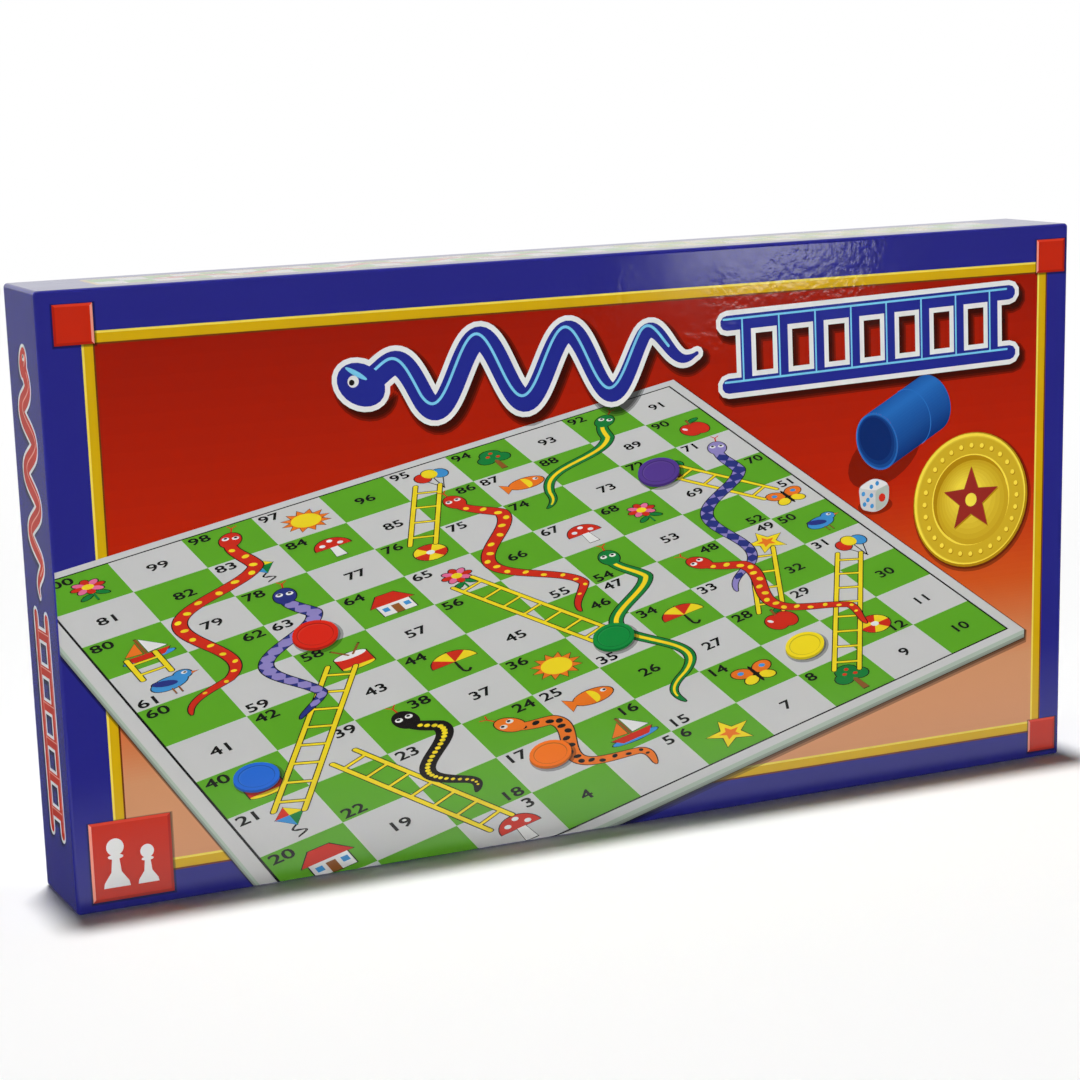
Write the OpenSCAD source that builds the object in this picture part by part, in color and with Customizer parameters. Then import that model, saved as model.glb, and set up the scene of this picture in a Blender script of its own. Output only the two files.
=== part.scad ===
// A boxed snakes and ladders game: a rigid box with a lift-off lid, standing on its long edge.
// Sizes are in millimetres. +X runs along the box, +Y runs from the printed lid face to the
// tray's back, and z = 0 is the floor. The origin is the middle of the face that it stands on.
// The box is built round the folded board: board, tray, lid, each a named clearance apart.

/* [Board] */
// Width of the playing board
board_w = 358; // [340:1:400]
// Height of each half of the folded board
half_h = 179; // [165:1:200]
// Thickness of the board's chipboard
panel_t = 2; // [1.5:0.1:3]
// Thickness of the printed playing face
play_paper_t = 0.2; // [0.1:0.05:0.3]
// Thickness of the backing paper
back_paper_t = 0.15; // [0.1:0.05:0.3]
// Gap between the two playing faces of the folded board
fold_gap = 0.5; // [0.4:0.1:1]
// Height of the fold line above the edges of the two halves
fold_rise = 0.4; // [0.3:0.1:1]
// Reach of the hinge cloth along each half
cloth_leg = 12; // [8:1:20]
// Thickness of the hinge cloth
cloth_t = 0.25; // [0.15:0.05:0.35]

/* [Box] */
// Thickness of the box's chipboard
shell_t = 1.5; // [1:0.1:2.5]
// Thickness of the wrapping paper
wrap_t = 0.3; // [0.2:0.05:0.4]
// Width of the paper turned in over a rim
turn_in = 15; // [8:1:22]
// Radius of the box's outer corners and edges
corner_r = 1.3; // [1:0.1:3]
// Reach of a corner stay along each wall
stay_leg = 12; // [8:1:20]
// Thickness of a corner stay
stay_t = 0.2; // [0.1:0.05:0.3]
// Distance from the lid's rim to the plane of the tray's back
lid_short = 0.8; // [0.3:0.1:3]

/* [Fits] */
// Gap between a piece and the wall that it rests against
seat_gap = 0.3; // [0.2:0.05:0.5]
// Gap beside the board, on each side
board_side_gap = 1.1; // [0.5:0.1:3]
// Gap between the tray and the lid's turned-in paper, on each side
lid_side_gap = 0.7; // [0.5:0.1:2]
// Clearance above the fold as the board opens
fold_room = 0.9; // [0.5:0.1:3]
// Gap between the folded board and the insert's deck
deck_gap = 0.5; // [0.3:0.1:1]
// Depth of each piece's top below the insert's deck
deck_sink = 0.3; // [0.1:0.1:1]
// Gap between a piece and its pocket, on each side
pocket_gap = 0.5; // [0.5:0.1:1]
// Gap between the insert and the tray's turned-in paper, on each side
insert_gap = 0.3; // [0.2:0.1:1]

/* [Insert] */
// Thickness of the insert's formed sheet
insert_t = 0.8; // [0.5:0.1:1.2]
// Radius of the insert's corners
insert_r = 3; // [2:0.5:8]
// Radius of the pockets' corners, small enough to clear a square piece's corners
pocket_r = 0.8; // [0.4:0.1:0.8]
// Radius of the finger scoops above and below the cup
cup_scoop_r = 11; // [9:0.5:13]
// Radius of the finger scoops on both sides of the die
die_scoop_r = 8; // [7:0.5:9]
// Width of the finger groove through each pair of counters
groove_w = 9; // [6:0.5:12]
// Depth of the finger grooves
groove_d = 3.5; // [3:0.1:3.9]
// Reach of a finger groove past its counters
groove_out = 7; // [4:0.5:10]
// Spacing of the counters along the box
counter_pitch_x = 34; // [28:1:38]
// Spacing of the counters up the box
counter_pitch_z = 40; // [30:1:50]

/* [Shaker cup] */
// Outside diameter of the cup's rings
cup_d = 26; // [23:0.5:30]
// Length of the cup
cup_l = 42; // [36:1:50]
// Height of the rings above the cup's side
cup_ring_t = 0.8; // [0.4:0.1:1.5]
// Width of the ring at the cup's mouth
mouth_ring_w = 5; // [3:0.5:8]
// Width of the ring at the cup's foot
foot_ring_w = 3; // [2:0.5:6]
// Thickness of the cup's wall
cup_wall = 1.4; // [1:0.1:2]
// Thickness of the cup's floor
cup_floor = 1.8; // [1:0.1:3]

/* [Die] */
// Side of the die
die_side = 14; // [12:0.5:16]
// Diameter of a blue pip
pip_d = 2.6; // [1.5:0.1:3]
// Diameter of the red pip
red_pip_d = 4.4; // [3:0.1:6]
// Depth of a pip's recess
pip_deep = 0.5; // [0.3:0.1:0.8]
// Thickness of the paint in a pip
pip_t = 0.2; // [0.1:0.05:0.3]
// Gap round the paint in a pip
pip_gap = 0.05; // [0.02:0.01:0.1]

/* [Counters] */
// Diameter of a counter
counter_d = 22; // [18:0.5:25]
// Thickness of a counter at its rim
counter_t = 2; // [1.5:0.1:2.5]
// Width of the raised rim
counter_rim_w = 2.6; // [1.5:0.1:4]
// Depth of the sunk middle on each face
counter_dip = 0.35; // [0.1:0.05:0.5]
// Bevel of the rim's edges
counter_bevel = 0.35; // [0.1:0.05:0.6]

/* [Leaflet] */
// Width of the folded leaflet
leaf_w = 105; // [90:1:110]
// Height of the folded leaflet
leaf_h = 148; // [110:1:152]
// Thickness of the leaflet's paper
leaf_paper_t = 0.15; // [0.1:0.05:0.2]
// Gap between the leaflet's two leaves
leaf_gap = 0.1; // [0.1:0.05:0.3]

/* [Hidden] */
$fn = 96;
cut_over = 1;

// Diameter of the ball that rounds the die, over its side, and a pip's offset, over its side
die_ball_share = 1.47;
pip_place_share = 0.26;
// Depth of the finger scoops, over the depth of the pocket beside them
scoop_share = 0.7;
// Places on the insert's deck, over half its length and half its height
cup_place_share = [-0.62, 0.36];
die_place_share = [-0.62, -0.5];
counter_place_share = [-0.08, 0];
leaf_place_share = [0.62, 0];

wall = shell_t + wrap_t;
half_t = panel_t + play_paper_t + back_paper_t;
stack_t = 2 * half_t + fold_gap;
leaf_t = 2 * leaf_paper_t + leaf_gap;

tray_l = board_w + 2 * (board_side_gap + wrap_t + wall);
tray_h = seat_gap + half_h + fold_rise + half_t + fold_gap / 2 + fold_room + 2 * (wrap_t + wall);
box_l = tray_l + 2 * (lid_side_gap + wrap_t + wall);
box_h = tray_h + 2 * (lid_side_gap + wrap_t + wall);
insert_d = deck_sink + cup_d + seat_gap + insert_t;
box_d = 2 * wall + seat_gap + stack_t + deck_gap + insert_d;

// Planes across the box, from the lid's face to the tray's back
lid_y = -box_d / 2;
tray_rim_y = lid_y + wall + seat_gap;
fold_y = tray_rim_y + half_t + fold_gap / 2;
tray_y = box_d / 2;
tray_floor_y = tray_y - wall;
deck_y = tray_floor_y - insert_d;
lid_depth = tray_y - lid_short - lid_y;
tray_depth = tray_y - tray_rim_y;

// Heights above the floor
tray_z = wall + wrap_t + seat_gap;
tray_mid_z = tray_z + tray_h / 2;
board_z = tray_z + wall + wrap_t + seat_gap;
edge_z = board_z + half_h;
fold_z = edge_z + fold_rise;

insert_l = tray_l - 2 * (wall + wrap_t + insert_gap);
insert_h = tray_h - 2 * (wall + wrap_t + insert_gap);
cup_deep = insert_d - insert_t;
die_deep = deck_sink + die_side + seat_gap;
counter_deep = deck_sink + counter_t + seat_gap;
leaf_deep = deck_sink + leaf_t + seat_gap;
// A piece lies this far below the middle of its pocket, against the pocket's lower wall
drop = pocket_gap - seat_gap;
counter_columns = [-1, 0, 1];
counter_rows = [-0.5, 0.5];

// Places the outline drawn in X and Z between the planes y = front and y = back
module across(front, back) {
    translate([0, back, 0])
        rotate([90, 0, 0])
            linear_extrude(back - front)
                children();
}

// Rectangle with round corners, centred
module rounded(l, h, r) {
    square([l - 2 * r, h], center = true);
    square([l, h - 2 * r], center = true);
    for (x = [-1, 1], z = [-1, 1])
        translate([x * (l / 2 - r), z * (h / 2 - r)])
            circle(r);
}

// Upright slot with round ends, centred
module slot(w, h) {
    square([w, h - w], center = true);
    for (z = [-1, 1])
        translate([0, z * (h - w) / 2])
            circle(w / 2);
}

// Block l by h from y = 0 to y = depth, with round corners and with round edges at y = 0
module blank(l, h, depth, r) {
    intersection() {
        across(0, depth)
            rounded(l, h, r);
        linear_extrude(h + cut_over, center = true)
            translate([0, depth])
                rounded(l, 2 * depth, r);
        rotate([0, 90, 0])
            linear_extrude(l + cut_over, center = true)
                translate([0, depth])
                    rounded(h, 2 * depth, r);
    }
}

// The four corner stays of an open box l by h, pressed into the outside of its chipboard
module stays(l, h, depth) {
    difference() {
        intersection() {
            across(wrap_t, depth - wrap_t)
                rounded(l - 2 * wrap_t, h - 2 * wrap_t, corner_r - wrap_t);
            for (x = [-1, 1], z = [-1, 1])
                across(wall, depth - wall)
                    translate([x * (l / 2 - wrap_t - stay_leg / 2), z * (h / 2 - wrap_t - stay_leg / 2)])
                        square(stay_leg, center = true);
        }
        across(0, depth)
            rounded(l - 2 * (wrap_t + stay_t), h - 2 * (wrap_t + stay_t), corner_r - wrap_t - stay_t);
    }
}

// Chipboard of an open box: closed face at y = 0, rim at y = depth, less the paper's thickness
module chipboard(l, h, depth) {
    difference() {
        translate([0, wrap_t, 0])
            blank(l - 2 * wrap_t, h - 2 * wrap_t, depth - 2 * wrap_t, corner_r - wrap_t);
        across(wall, depth)
            square([l - 2 * wall, h - 2 * wall], center = true);
        stays(l, h, depth);
    }
}

// Paper on that chipboard: its outside, over the rim and turned in behind it
module paper(l, h, depth) {
    mouth = [l - 2 * (wall + wrap_t), h - 2 * (wall + wrap_t)];
    difference() {
        blank(l, h, depth, corner_r);
        translate([0, wrap_t, 0])
            blank(l - 2 * wrap_t, h - 2 * wrap_t, depth, corner_r - wrap_t);
    }
    difference() {
        across(depth - wrap_t, depth)
            rounded(l, h, corner_r);
        across(depth - wrap_t - cut_over, depth + cut_over)
            square(mouth, center = true);
    }
    difference() {
        across(depth - turn_in, depth)
            square([l - 2 * wall, h - 2 * wall], center = true);
        across(depth - turn_in - cut_over, depth + cut_over)
            square(mouth, center = true);
    }
}

// The lid opens towards +Y, and the tray, turned about, towards -Y
module at_lid() {
    translate([0, lid_y, box_h / 2])
        children();
}
module at_tray() {
    translate([0, tray_y, tray_mid_z])
        mirror([0, 1, 0])
            children();
}

module lid_shell() {
    color("darkgray")
        at_lid()
            chipboard(box_l, box_h, lid_depth);
}
module lid_wrap() {
    color("darkslateblue")
        at_lid()
            paper(box_l, box_h, lid_depth);
}
module lid_corner_stays() {
    color("burlywood")
        at_lid()
            stays(box_l, box_h, lid_depth);
}
module tray_shell() {
    color("gray")
        at_tray()
            chipboard(tray_l, tray_h, tray_depth);
}
module tray_wrap() {
    color("whitesmoke")
        at_tray()
            paper(tray_l, tray_h, tray_depth);
}
module tray_corner_stays() {
    color("burlywood")
        at_tray()
            stays(tray_l, tray_h, tray_depth);
}

// One pocket's outline, sunk into the deck at its place. The pocket's room has grow = 0, and
// its shell is drawn out by the sheet's thickness.
module sunk(place, deep, grow) {
    front = grow == 0 ? deck_y - cut_over : deck_y;
    translate([place[0] * insert_l / 2, 0, tray_mid_z + place[1] * insert_h / 2])
        across(front, deck_y + deep + grow)
            children();
}
module pockets(grow) {
    cup_side = cup_d / 2 + pocket_gap;
    die_half = die_side / 2 + pocket_gap;
    sunk(cup_place_share, cup_deep, grow)
        rounded(cup_l + 2 * (pocket_gap + grow), 2 * (cup_side + grow), pocket_r + grow);
    sunk(cup_place_share, cup_deep * scoop_share, grow)
        for (z = [-1, 1])
            translate([0, z * cup_side])
                circle(cup_scoop_r + grow);
    sunk(die_place_share, die_deep, grow)
        rounded(2 * (die_half + grow), 2 * (die_half + grow), pocket_r + grow);
    sunk(die_place_share, die_deep * scoop_share, grow)
        for (x = [-1, 1])
            translate([x * die_half, 0])
                circle(die_scoop_r + grow);
    sunk(leaf_place_share, leaf_deep, grow)
        rounded(leaf_w + 2 * (pocket_gap + grow), leaf_h + 2 * (pocket_gap + grow), pocket_r + grow);
    for (column = counter_columns) {
        for (row = counter_rows)
            sunk(counter_place_share, counter_deep, grow)
                translate([column * counter_pitch_x, row * counter_pitch_z])
                    circle(counter_d / 2 + pocket_gap + grow);
        sunk(counter_place_share, groove_d, grow)
            translate([column * counter_pitch_x, 0])
                slot(groove_w + 2 * grow, counter_pitch_z + counter_d + 2 * (groove_out + grow));
    }
}
module formed_insert() {
    color("white")
        difference() {
            union() {
                translate([0, 0, tray_mid_z])
                    difference() {
                        across(deck_y, tray_floor_y)
                            rounded(insert_l, insert_h, insert_r);
                        across(deck_y + insert_t, tray_floor_y + cut_over)
                            rounded(insert_l - 2 * insert_t, insert_h - 2 * insert_t, insert_r - insert_t);
                    }
                pockets(insert_t);
            }
            pockets(0);
        }
}

// A sheet of the board between the planes y = front and y = back, from z = low to z = high
module board_sheet(front, back, low, high) {
    translate([-board_w / 2, front, low])
        cube([board_w, back - front, high - low]);
}
// One half of the board as it hangs, with its playing face towards the other half. The rear
// half is drawn, and the front half is its mirror image in the plane of the fold.
module at_half(front_half) {
    translate([0, fold_y, 0])
        mirror([0, front_half ? 1 : 0, 0])
            children();
}
play_y = fold_gap / 2;
panel_y = play_y + play_paper_t;
backing_y = panel_y + panel_t;
module half_panel() {
    difference() {
        board_sheet(panel_y, backing_y, board_z, edge_z);
        translate([0, 0, cut_over])
            board_sheet(panel_y - cut_over, panel_y + cloth_t, edge_z - cloth_leg - cut_over, edge_z);
    }
}
module half_face() {
    board_sheet(play_y, panel_y, board_z, edge_z);
}
module half_backing() {
    board_sheet(backing_y, backing_y + back_paper_t, board_z, edge_z);
}
module board_rear_panel() {
    color("gray")
        at_half(false)
            half_panel();
}
module board_rear_face() {
    color("limegreen")
        at_half(false)
            half_face();
}
module board_rear_backing() {
    color("midnightblue")
        at_half(false)
            half_backing();
}
module board_front_panel() {
    color("gray")
        at_half(true)
            half_panel();
}
module board_front_face() {
    color("limegreen")
        at_half(true)
            half_face();
}
module board_front_backing() {
    color("midnightblue")
        at_half(true)
            half_backing();
}
// The cloth lies under both playing faces and runs over the fold
module board_hinge_cloth() {
    color("ivory") {
        for (front_half = [false, true])
            at_half(front_half)
                board_sheet(panel_y, panel_y + cloth_t, edge_z - cloth_leg, fold_z);
        translate([0, fold_y, 0])
            board_sheet(-panel_y - cloth_t, panel_y + cloth_t, fold_z - cloth_t / 2, fold_z + cloth_t / 2);
    }
}

// Where a piece's middle lies on the deck, and the plane of its top
module laid(place) {
    translate([place[0] * insert_l / 2, deck_y + deck_sink, tray_mid_z + place[1] * insert_h / 2 - drop])
        children();
}

// A sheet folded once, with its fold at the left
module rules_leaflet() {
    color("floralwhite")
        laid(leaf_place_share)
            translate([-leaf_w / 2, 0, -leaf_h / 2]) {
                cube([leaf_w, leaf_paper_t, leaf_h]);
                cube([leaf_paper_t, leaf_t, leaf_h]);
                translate([0, leaf_t - leaf_paper_t, 0])
                    cube([leaf_w, leaf_paper_t, leaf_h]);
            }
}

// A round cup on its side, with a ring at its foot and a ring at its mouth, which faces -X
module shaker_cup() {
    r = cup_d / 2;
    side_r = r - cup_ring_t;
    color("royalblue")
        laid(cup_place_share)
            translate([cup_l / 2, r, 0])
                rotate([0, -90, 0])
                    difference() {
                        union() {
                            cylinder(r = side_r, h = cup_l);
                            cylinder(r = r, h = foot_ring_w);
                            translate([0, 0, cup_l - mouth_ring_w])
                                cylinder(r = r, h = mouth_ring_w);
                        }
                        translate([0, 0, cup_floor])
                            cylinder(r = side_r - cup_wall, h = cup_l);
                    }
}

// The die's six faces as [pips, turn that brings +Z to the face]. Opposite faces add up to 7.
die_faces = [
    [1, [90, 0, 0]], [6, [-90, 0, 0]],
    [2, [0, -90, 0]], [5, [0, 90, 0]],
    [3, [0, 0, 0]], [4, [180, 0, 0]]
];
function pip_places(count) = concat(
    count % 2 == 1 ? [[0, 0]] : [],
    count > 1 ? [[-1, -1], [1, 1]] : [],
    count > 3 ? [[-1, 1], [1, -1]] : [],
    count == 6 ? [[-1, 0], [1, 0]] : []
);
module at_die() {
    laid(die_place_share)
        translate([0, die_side / 2, 0])
            children();
}
// Discs of the faces with at least the given pips and at most the given pips, from the bottom
// of their recesses
module pip_discs(fewest, most, d, t) {
    for (face = die_faces)
        if (face[0] >= fewest && face[0] <= most)
            rotate(face[1])
                for (place = pip_places(face[0]))
                    translate([
                        place[0] * pip_place_share * die_side,
                        place[1] * pip_place_share * die_side,
                        die_side / 2 - pip_deep
                    ])
                        cylinder(d = d, h = t);
}
module die_body() {
    color("white")
        at_die()
            difference() {
                intersection() {
                    cube(die_side, center = true);
                    sphere(d = die_side * die_ball_share);
                }
                pip_discs(1, 1, red_pip_d, pip_deep + cut_over);
                pip_discs(2, 6, pip_d, pip_deep + cut_over);
            }
}
module die_blue_pips() {
    color("blue")
        at_die()
            pip_discs(2, 6, pip_d - 2 * pip_gap, pip_t);
}
module die_red_pip() {
    color("red")
        at_die()
            pip_discs(1, 1, red_pip_d - 2 * pip_gap, pip_t);
}

// A round counter with a raised, bevelled rim on both faces, in one of the six pockets
module counter(column, row) {
    r = counter_d / 2;
    half = counter_t / 2;
    hub_r = r - counter_rim_w;
    hub = half - counter_dip;
    laid(counter_place_share)
        translate([column * counter_pitch_x, half, row * counter_pitch_z])
            rotate([90, 0, 0])
                rotate_extrude()
                    polygon([
                        [0, -hub], [hub_r, -hub], [hub_r + counter_dip, -half],
                        [r - counter_bevel, -half], [r, counter_bevel - half],
                        [r, half - counter_bevel], [r - counter_bevel, half],
                        [hub_r + counter_dip, half], [hub_r, hub], [0, hub]
                    ]);
}
module counter_red() {
    color("red")
        counter(counter_columns[0], counter_rows[1]);
}
module counter_blue() {
    color("dodgerblue")
        counter(counter_columns[1], counter_rows[1]);
}
module counter_green() {
    color("green")
        counter(counter_columns[2], counter_rows[1]);
}
module counter_orange() {
    color("orange")
        counter(counter_columns[0], counter_rows[0]);
}
module counter_yellow() {
    color("yellow")
        counter(counter_columns[1], counter_rows[0]);
}
module counter_purple() {
    color("purple")
        counter(counter_columns[2], counter_rows[0]);
}

lid_shell();
lid_wrap();
lid_corner_stays();
tray_shell();
tray_wrap();
tray_corner_stays();
formed_insert();
board_rear_panel();
board_rear_face();
board_rear_backing();
board_front_panel();
board_front_face();
board_front_backing();
board_hinge_cloth();
rules_leaflet();
shaker_cup();
die_body();
die_blue_pips();
die_red_pip();
counter_red();
counter_blue();
counter_green();
counter_orange();
counter_yellow();
counter_purple();
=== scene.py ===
import math

import bmesh
import bpy
import numpy as np
from mathutils import Matrix, Vector
from mathutils.geometry import delaunay_2d_cdt


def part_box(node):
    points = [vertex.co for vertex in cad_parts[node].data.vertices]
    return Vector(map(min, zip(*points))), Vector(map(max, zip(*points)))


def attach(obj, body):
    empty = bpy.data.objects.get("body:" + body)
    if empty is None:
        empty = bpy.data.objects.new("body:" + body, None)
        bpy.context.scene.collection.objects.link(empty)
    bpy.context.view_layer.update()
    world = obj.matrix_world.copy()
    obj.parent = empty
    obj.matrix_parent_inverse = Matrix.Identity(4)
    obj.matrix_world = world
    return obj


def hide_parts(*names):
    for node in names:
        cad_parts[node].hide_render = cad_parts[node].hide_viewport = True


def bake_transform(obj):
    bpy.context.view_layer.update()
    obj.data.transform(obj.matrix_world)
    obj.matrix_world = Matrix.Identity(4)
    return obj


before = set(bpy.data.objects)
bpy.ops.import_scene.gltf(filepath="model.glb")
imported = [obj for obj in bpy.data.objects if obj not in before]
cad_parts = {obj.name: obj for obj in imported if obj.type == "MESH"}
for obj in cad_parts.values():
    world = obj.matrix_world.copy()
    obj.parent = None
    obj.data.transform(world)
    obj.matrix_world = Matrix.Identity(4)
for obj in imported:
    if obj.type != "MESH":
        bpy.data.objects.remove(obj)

bl_info = {
    "name": "Boxed snakes and ladders game",
    "version": (1, 0, 0),
    "blender": (4, 5, 0),
    "location": "View3D > Sidebar > Board game",
    "description": "Dresses a boxed game: printed lid, tray, folding board and playing pieces",
    "category": "Object",
}

# Pieces are worked out in millimetres, in the row frame, and become meshes in metres.
MM = 0.001
TURN = 2 * math.pi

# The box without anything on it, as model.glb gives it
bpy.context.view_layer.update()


def node_box(name):
    """A CAD node's lowest and highest corner, in millimetres."""
    low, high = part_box(name)
    return np.array(low) / MM, np.array(high) / MM


# Sizes

PAPER_T = 0.3
WALL = 1.8
EDGE_R = 1.3
RIM_R = 0.5
TURN_IN = 15.0
BEND_STEPS = 6
RIM_STEPS = 4
CLOTH_T = 0.25
# The insert: its sheet, corners and lips with the most they take of a pocket's depth, the least
# radius that gets more steps, the run of its upright walls, and how the pieces lie in its pockets
INSERT_T = 0.8
INSERT_R = 3.0
LIP_R = 0.8
LIP_SHARE = 0.35
POCKET_R = 0.8
BIG_R = 4.0
WALL_SLOPE = 0.03
SKIRT_LIP = 1.4
POCKET_GAP = 0.5
SEAT = 0.3
DROP = 0.2
CUP_SCOOP = 11.0
DIE_SCOOP = 8.0
SCOOP = 0.7
GROOVE_W = 9.0
GROOVE_D = 3.5
GROOVE_OUT = 7.0
# The die: its edge radius, the ball that rounds it over half its side, a pip's offset over its
# side, and the sunk pips with the paint in them
DIE_SOFT = 0.7
DIE_BALL = 1.47
PIP_PLACE = 0.26
PIP_D = 0.5
PIP_SOFT = 0.15
PIP_GAP = 0.05
BLUE_PIP_R = 1.25
RED_PIP_R = 2.15

# The lid's print is drawn on an artboard of this size, and scaled to the lid
ART_W = 370.0
ART_H = 193.0
SQUARES = 10
# On the playing face, in squares: the white margin round the squares, the black line, how far a
# ladder ends from the middle of its square, the figures' places and size, and all dark edges
MARGIN = 0.2
BLACK_LINE = 0.03
LADDER_INSET = 0.2
FIGURE_SHIFT = (0.08, -0.06)
FIGURE_SIZE = 0.78
FIGURE_EDGE = 0.022
LADDER_EDGE = 0.014
SNAKE_EDGE = 0.016
# What a number keeps clear of, as shares of the width of a ladder, a snake and a snake's head
LADDER_KEEP = 0.62
SNAKE_KEEP = 0.6
HEAD_KEEP = 0.8
# Places on the artboard of the corners of the board's squares, from its square 1 anticlockwise
BOARD_CORNERS = ((82.3, -21.7), (345.8, 50.1), (210.3, 148.1), (-7.1, 105.1))

# The yellow line's outer corners, its width and those of its lit and dark edges, then the corners
# of the ground inside it, and the places of the ground's inks between its top and its foot
FRAME_LINE = (13.3, 10.65, 360.6, 180.3)
LINE_W, LINE_LIT, LINE_DARK = 3.5, 0.7, 0.6
GROUND = (16.8, 14.0, 357.1, 176.8)
GROUND_PLACES = (0.0, 0.42, 0.66, 0.84)

# Where things lie on the artboard: the title and its length and height, the counters and half of
# theirs, the gold disc and its radius, the cup with its axis, radius and squeeze, and the die
TITLE_X, TITLE_Y, TITLE_L, TITLE_H = 91.5, 158.5, 259, 32
COUNTERS_AT = (("red", 82.5, 80.0), ("purple", 206.0, 120.5), ("green", 188.0, 66.5),
               ("yellow", 262.0, 54.5), ("blue", 60.5, 36.5), ("orange", 163.5, 29.5))
COUNTER_L, COUNTER_H = 7.8, 4.5
DISC = (330.2, 98.6, 24)
PICTURED_CUP = (291.2, 122.8, np.array([21.6, 11.4]), 10.6, 0.74)
PICTURED_DIE = (290, 104.4, 12.6)
# Red squares as two corners, their bevel and whether their left is the bright side
RED_SQUARES = ((5.1, 176.5, 17.4, 188.7, 0.8, False), (356.6, 176.4, 368.4, 187.9, 0.8, True),
               (356.3, 2.5, 367.9, 14.5, 0.8, True), (5.2, 3.4, 31.5, 29.0, 0.9, True))
# On the short sides the title's motif is this long, high and bold, and begins this far from the
# middle on the left and on the right side
SIDE_TITLE = (156, 19, "square_red", "square_edge", "white", 1.3)
LEFT_START, RIGHT_START = 80, -76
# On the long sides a strip of cells takes this share of the length, with a border, a ladder and a
# snake of these widths, and one width for their edges
STRIP_CELL, STRIP_SHARE, STRIP_BORDER = 9.0, 0.88, 1.4
STRIP_LADDER, STRIP_SNAKE, STRIP_EDGE = 9.0, 4.0, 0.4
# Pawns as their foot and height, on the large square
PAWNS = ((13.2, 7.5, 16.5), (23.4, 7.5, 13))
# The pictured board's thickness, the steps of the shade beyond it, the shares of its thickness at
# which its edge turns darker, and the longest side of its print
PICTURED_T = 2.9
PICTURED_SHADES = (1.9, 1.1, 0.4)
PICTURED_FOOTS = (0.55, 0.8)
PICTURED_SIDE = 2.5

# Inks as label and colour out of 255
INKS = {
    "border_blue": ("Blue of the lid's border", (38, 38, 130)),
    "line_yellow": ("Yellow of the frame line", (207, 166, 8)),
    "line_light": ("Lit edge of the frame line", (232, 212, 84)),
    "line_dark": ("Shaded edge of the frame line", (110, 50, 14)),
    "square_red": ("Red of the corner squares", (192, 38, 12)),
    "square_light": ("Lit bevel of the corner squares", (212, 58, 34)),
    "square_edge": ("Bright bevel of the corner squares", (236, 150, 130)),
    "square_dark": ("Shaded bevel of the corner squares", (168, 30, 12)),
    "field_top": ("Picture ground at the top", (152, 22, 2)),
    "field_upper": ("Picture ground above the middle", (184, 34, 4)),
    "field_lower": ("Picture ground below the middle", (206, 84, 28)),
    "field_foot": ("Picture ground at the foot", (208, 146, 104)),
    "cell_green": ("Green squares of the board", (92, 163, 38)),
    "cell_white": ("White squares of the board", (198, 198, 197)),
    "grid_black": ("Line round the board and numbers", (26, 26, 26)),
    "board_edge": ("Edge of the pictured board", (168, 182, 168)),
    "black": ("Black of the figures", (30, 26, 26)),
    "white": ("White of the figures", (226, 226, 224)),
    "red": ("Red of the figures", (204, 44, 28)),
    "yellow": ("Yellow of the figures", (236, 212, 36)),
    "orange": ("Orange of the figures", (230, 116, 34)),
    "sky": ("Light blue of the figures", (62, 142, 204)),
    "navy": ("Dark blue of the figures", (44, 52, 124)),
    "brown": ("Brown of the figures", (140, 84, 40)),
    "leaf": ("Dark green of the figures", (26, 124, 56)),
    "lilac": ("Lilac of the figures", (140, 130, 190)),
    "pink": ("Pink of the figures", (224, 108, 150)),
    "title_blue": ("Blue of the large snake and ladder", (35, 42, 138)),
    "title_cyan": ("Highlight of the large snake and ladder", (120, 196, 230)),
    "cup_light": ("Lit side of the pictured cup", (38, 108, 186)),
    "cup_dark": ("Dark side of the pictured cup", (12, 42, 104)),
    "gold_light": ("Bright gold of the medallion", (246, 222, 70)),
    "gold_dark": ("Dark gold of the medallion", (176, 132, 10)),
    "medal_red": ("Star on the medallion", (150, 42, 34)),
    "backing_blue": ("Back of the folding board", (30, 34, 84)),
    "greyboard": ("Greyboard under the papers", (176, 172, 164)),
    "greyboard_fibre": ("Dark fibres in the greyboard", (138, 132, 124)),
    "tape_brown": ("Corner stay tape", (196, 160, 112)),
    "tape_fibre": ("Dark fibres in the tape", (160, 122, 78)),
    "tray_white": ("Paper of the tray", (232, 232, 228)),
    "insert_white": ("Formed insert", (224, 224, 220)),
    "cloth_white": ("Hinge cloth", (226, 222, 210)),
    "leaflet_white": ("Paper of the leaflet", (236, 234, 226)),
    "leaflet_grey": ("Print of the leaflet", (92, 92, 96)),
    "cup_blue": ("Shaker cup", (22, 84, 190)),
    "die_white": ("Die", (240, 240, 236)),
    "pip_blue": ("Paint of the blue pips", (30, 66, 176)),
    "pip_red": ("Paint of the red pip", (206, 30, 28)),
    "counter_red": ("Red counter", (214, 40, 24)),
    "counter_blue": ("Blue counter", (36, 104, 208)),
    "counter_green": ("Green counter", (22, 136, 60)),
    "counter_orange": ("Orange counter", (240, 116, 22)),
    "counter_yellow": ("Yellow counter", (240, 216, 34)),
    "counter_purple": ("Purple counter", (84, 58, 140)),
}


def linear(rgb):
    """Scene-linear colour of a display colour: the standard curve of sRGB."""
    c = np.asarray(rgb, float)
    return np.where(c <= 0.04045, c / 12.92, ((c + 0.055) / 1.055) ** 2.4)


# Settings

def colour_setting(label, rgb):
    """A colour that the user can change, as a display colour."""
    return bpy.props.FloatVectorProperty(
        name=label, description=label, default=[c / 255 for c in rgb],
        size=3, min=0, max=1, subtype="COLOR_GAMMA")


class GAME_PG_inks(bpy.types.PropertyGroup):
    """Colours of the lid, the board and the playing pieces."""
    __annotations__ = {key: colour_setting(*ink) for key, ink in INKS.items()}


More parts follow.
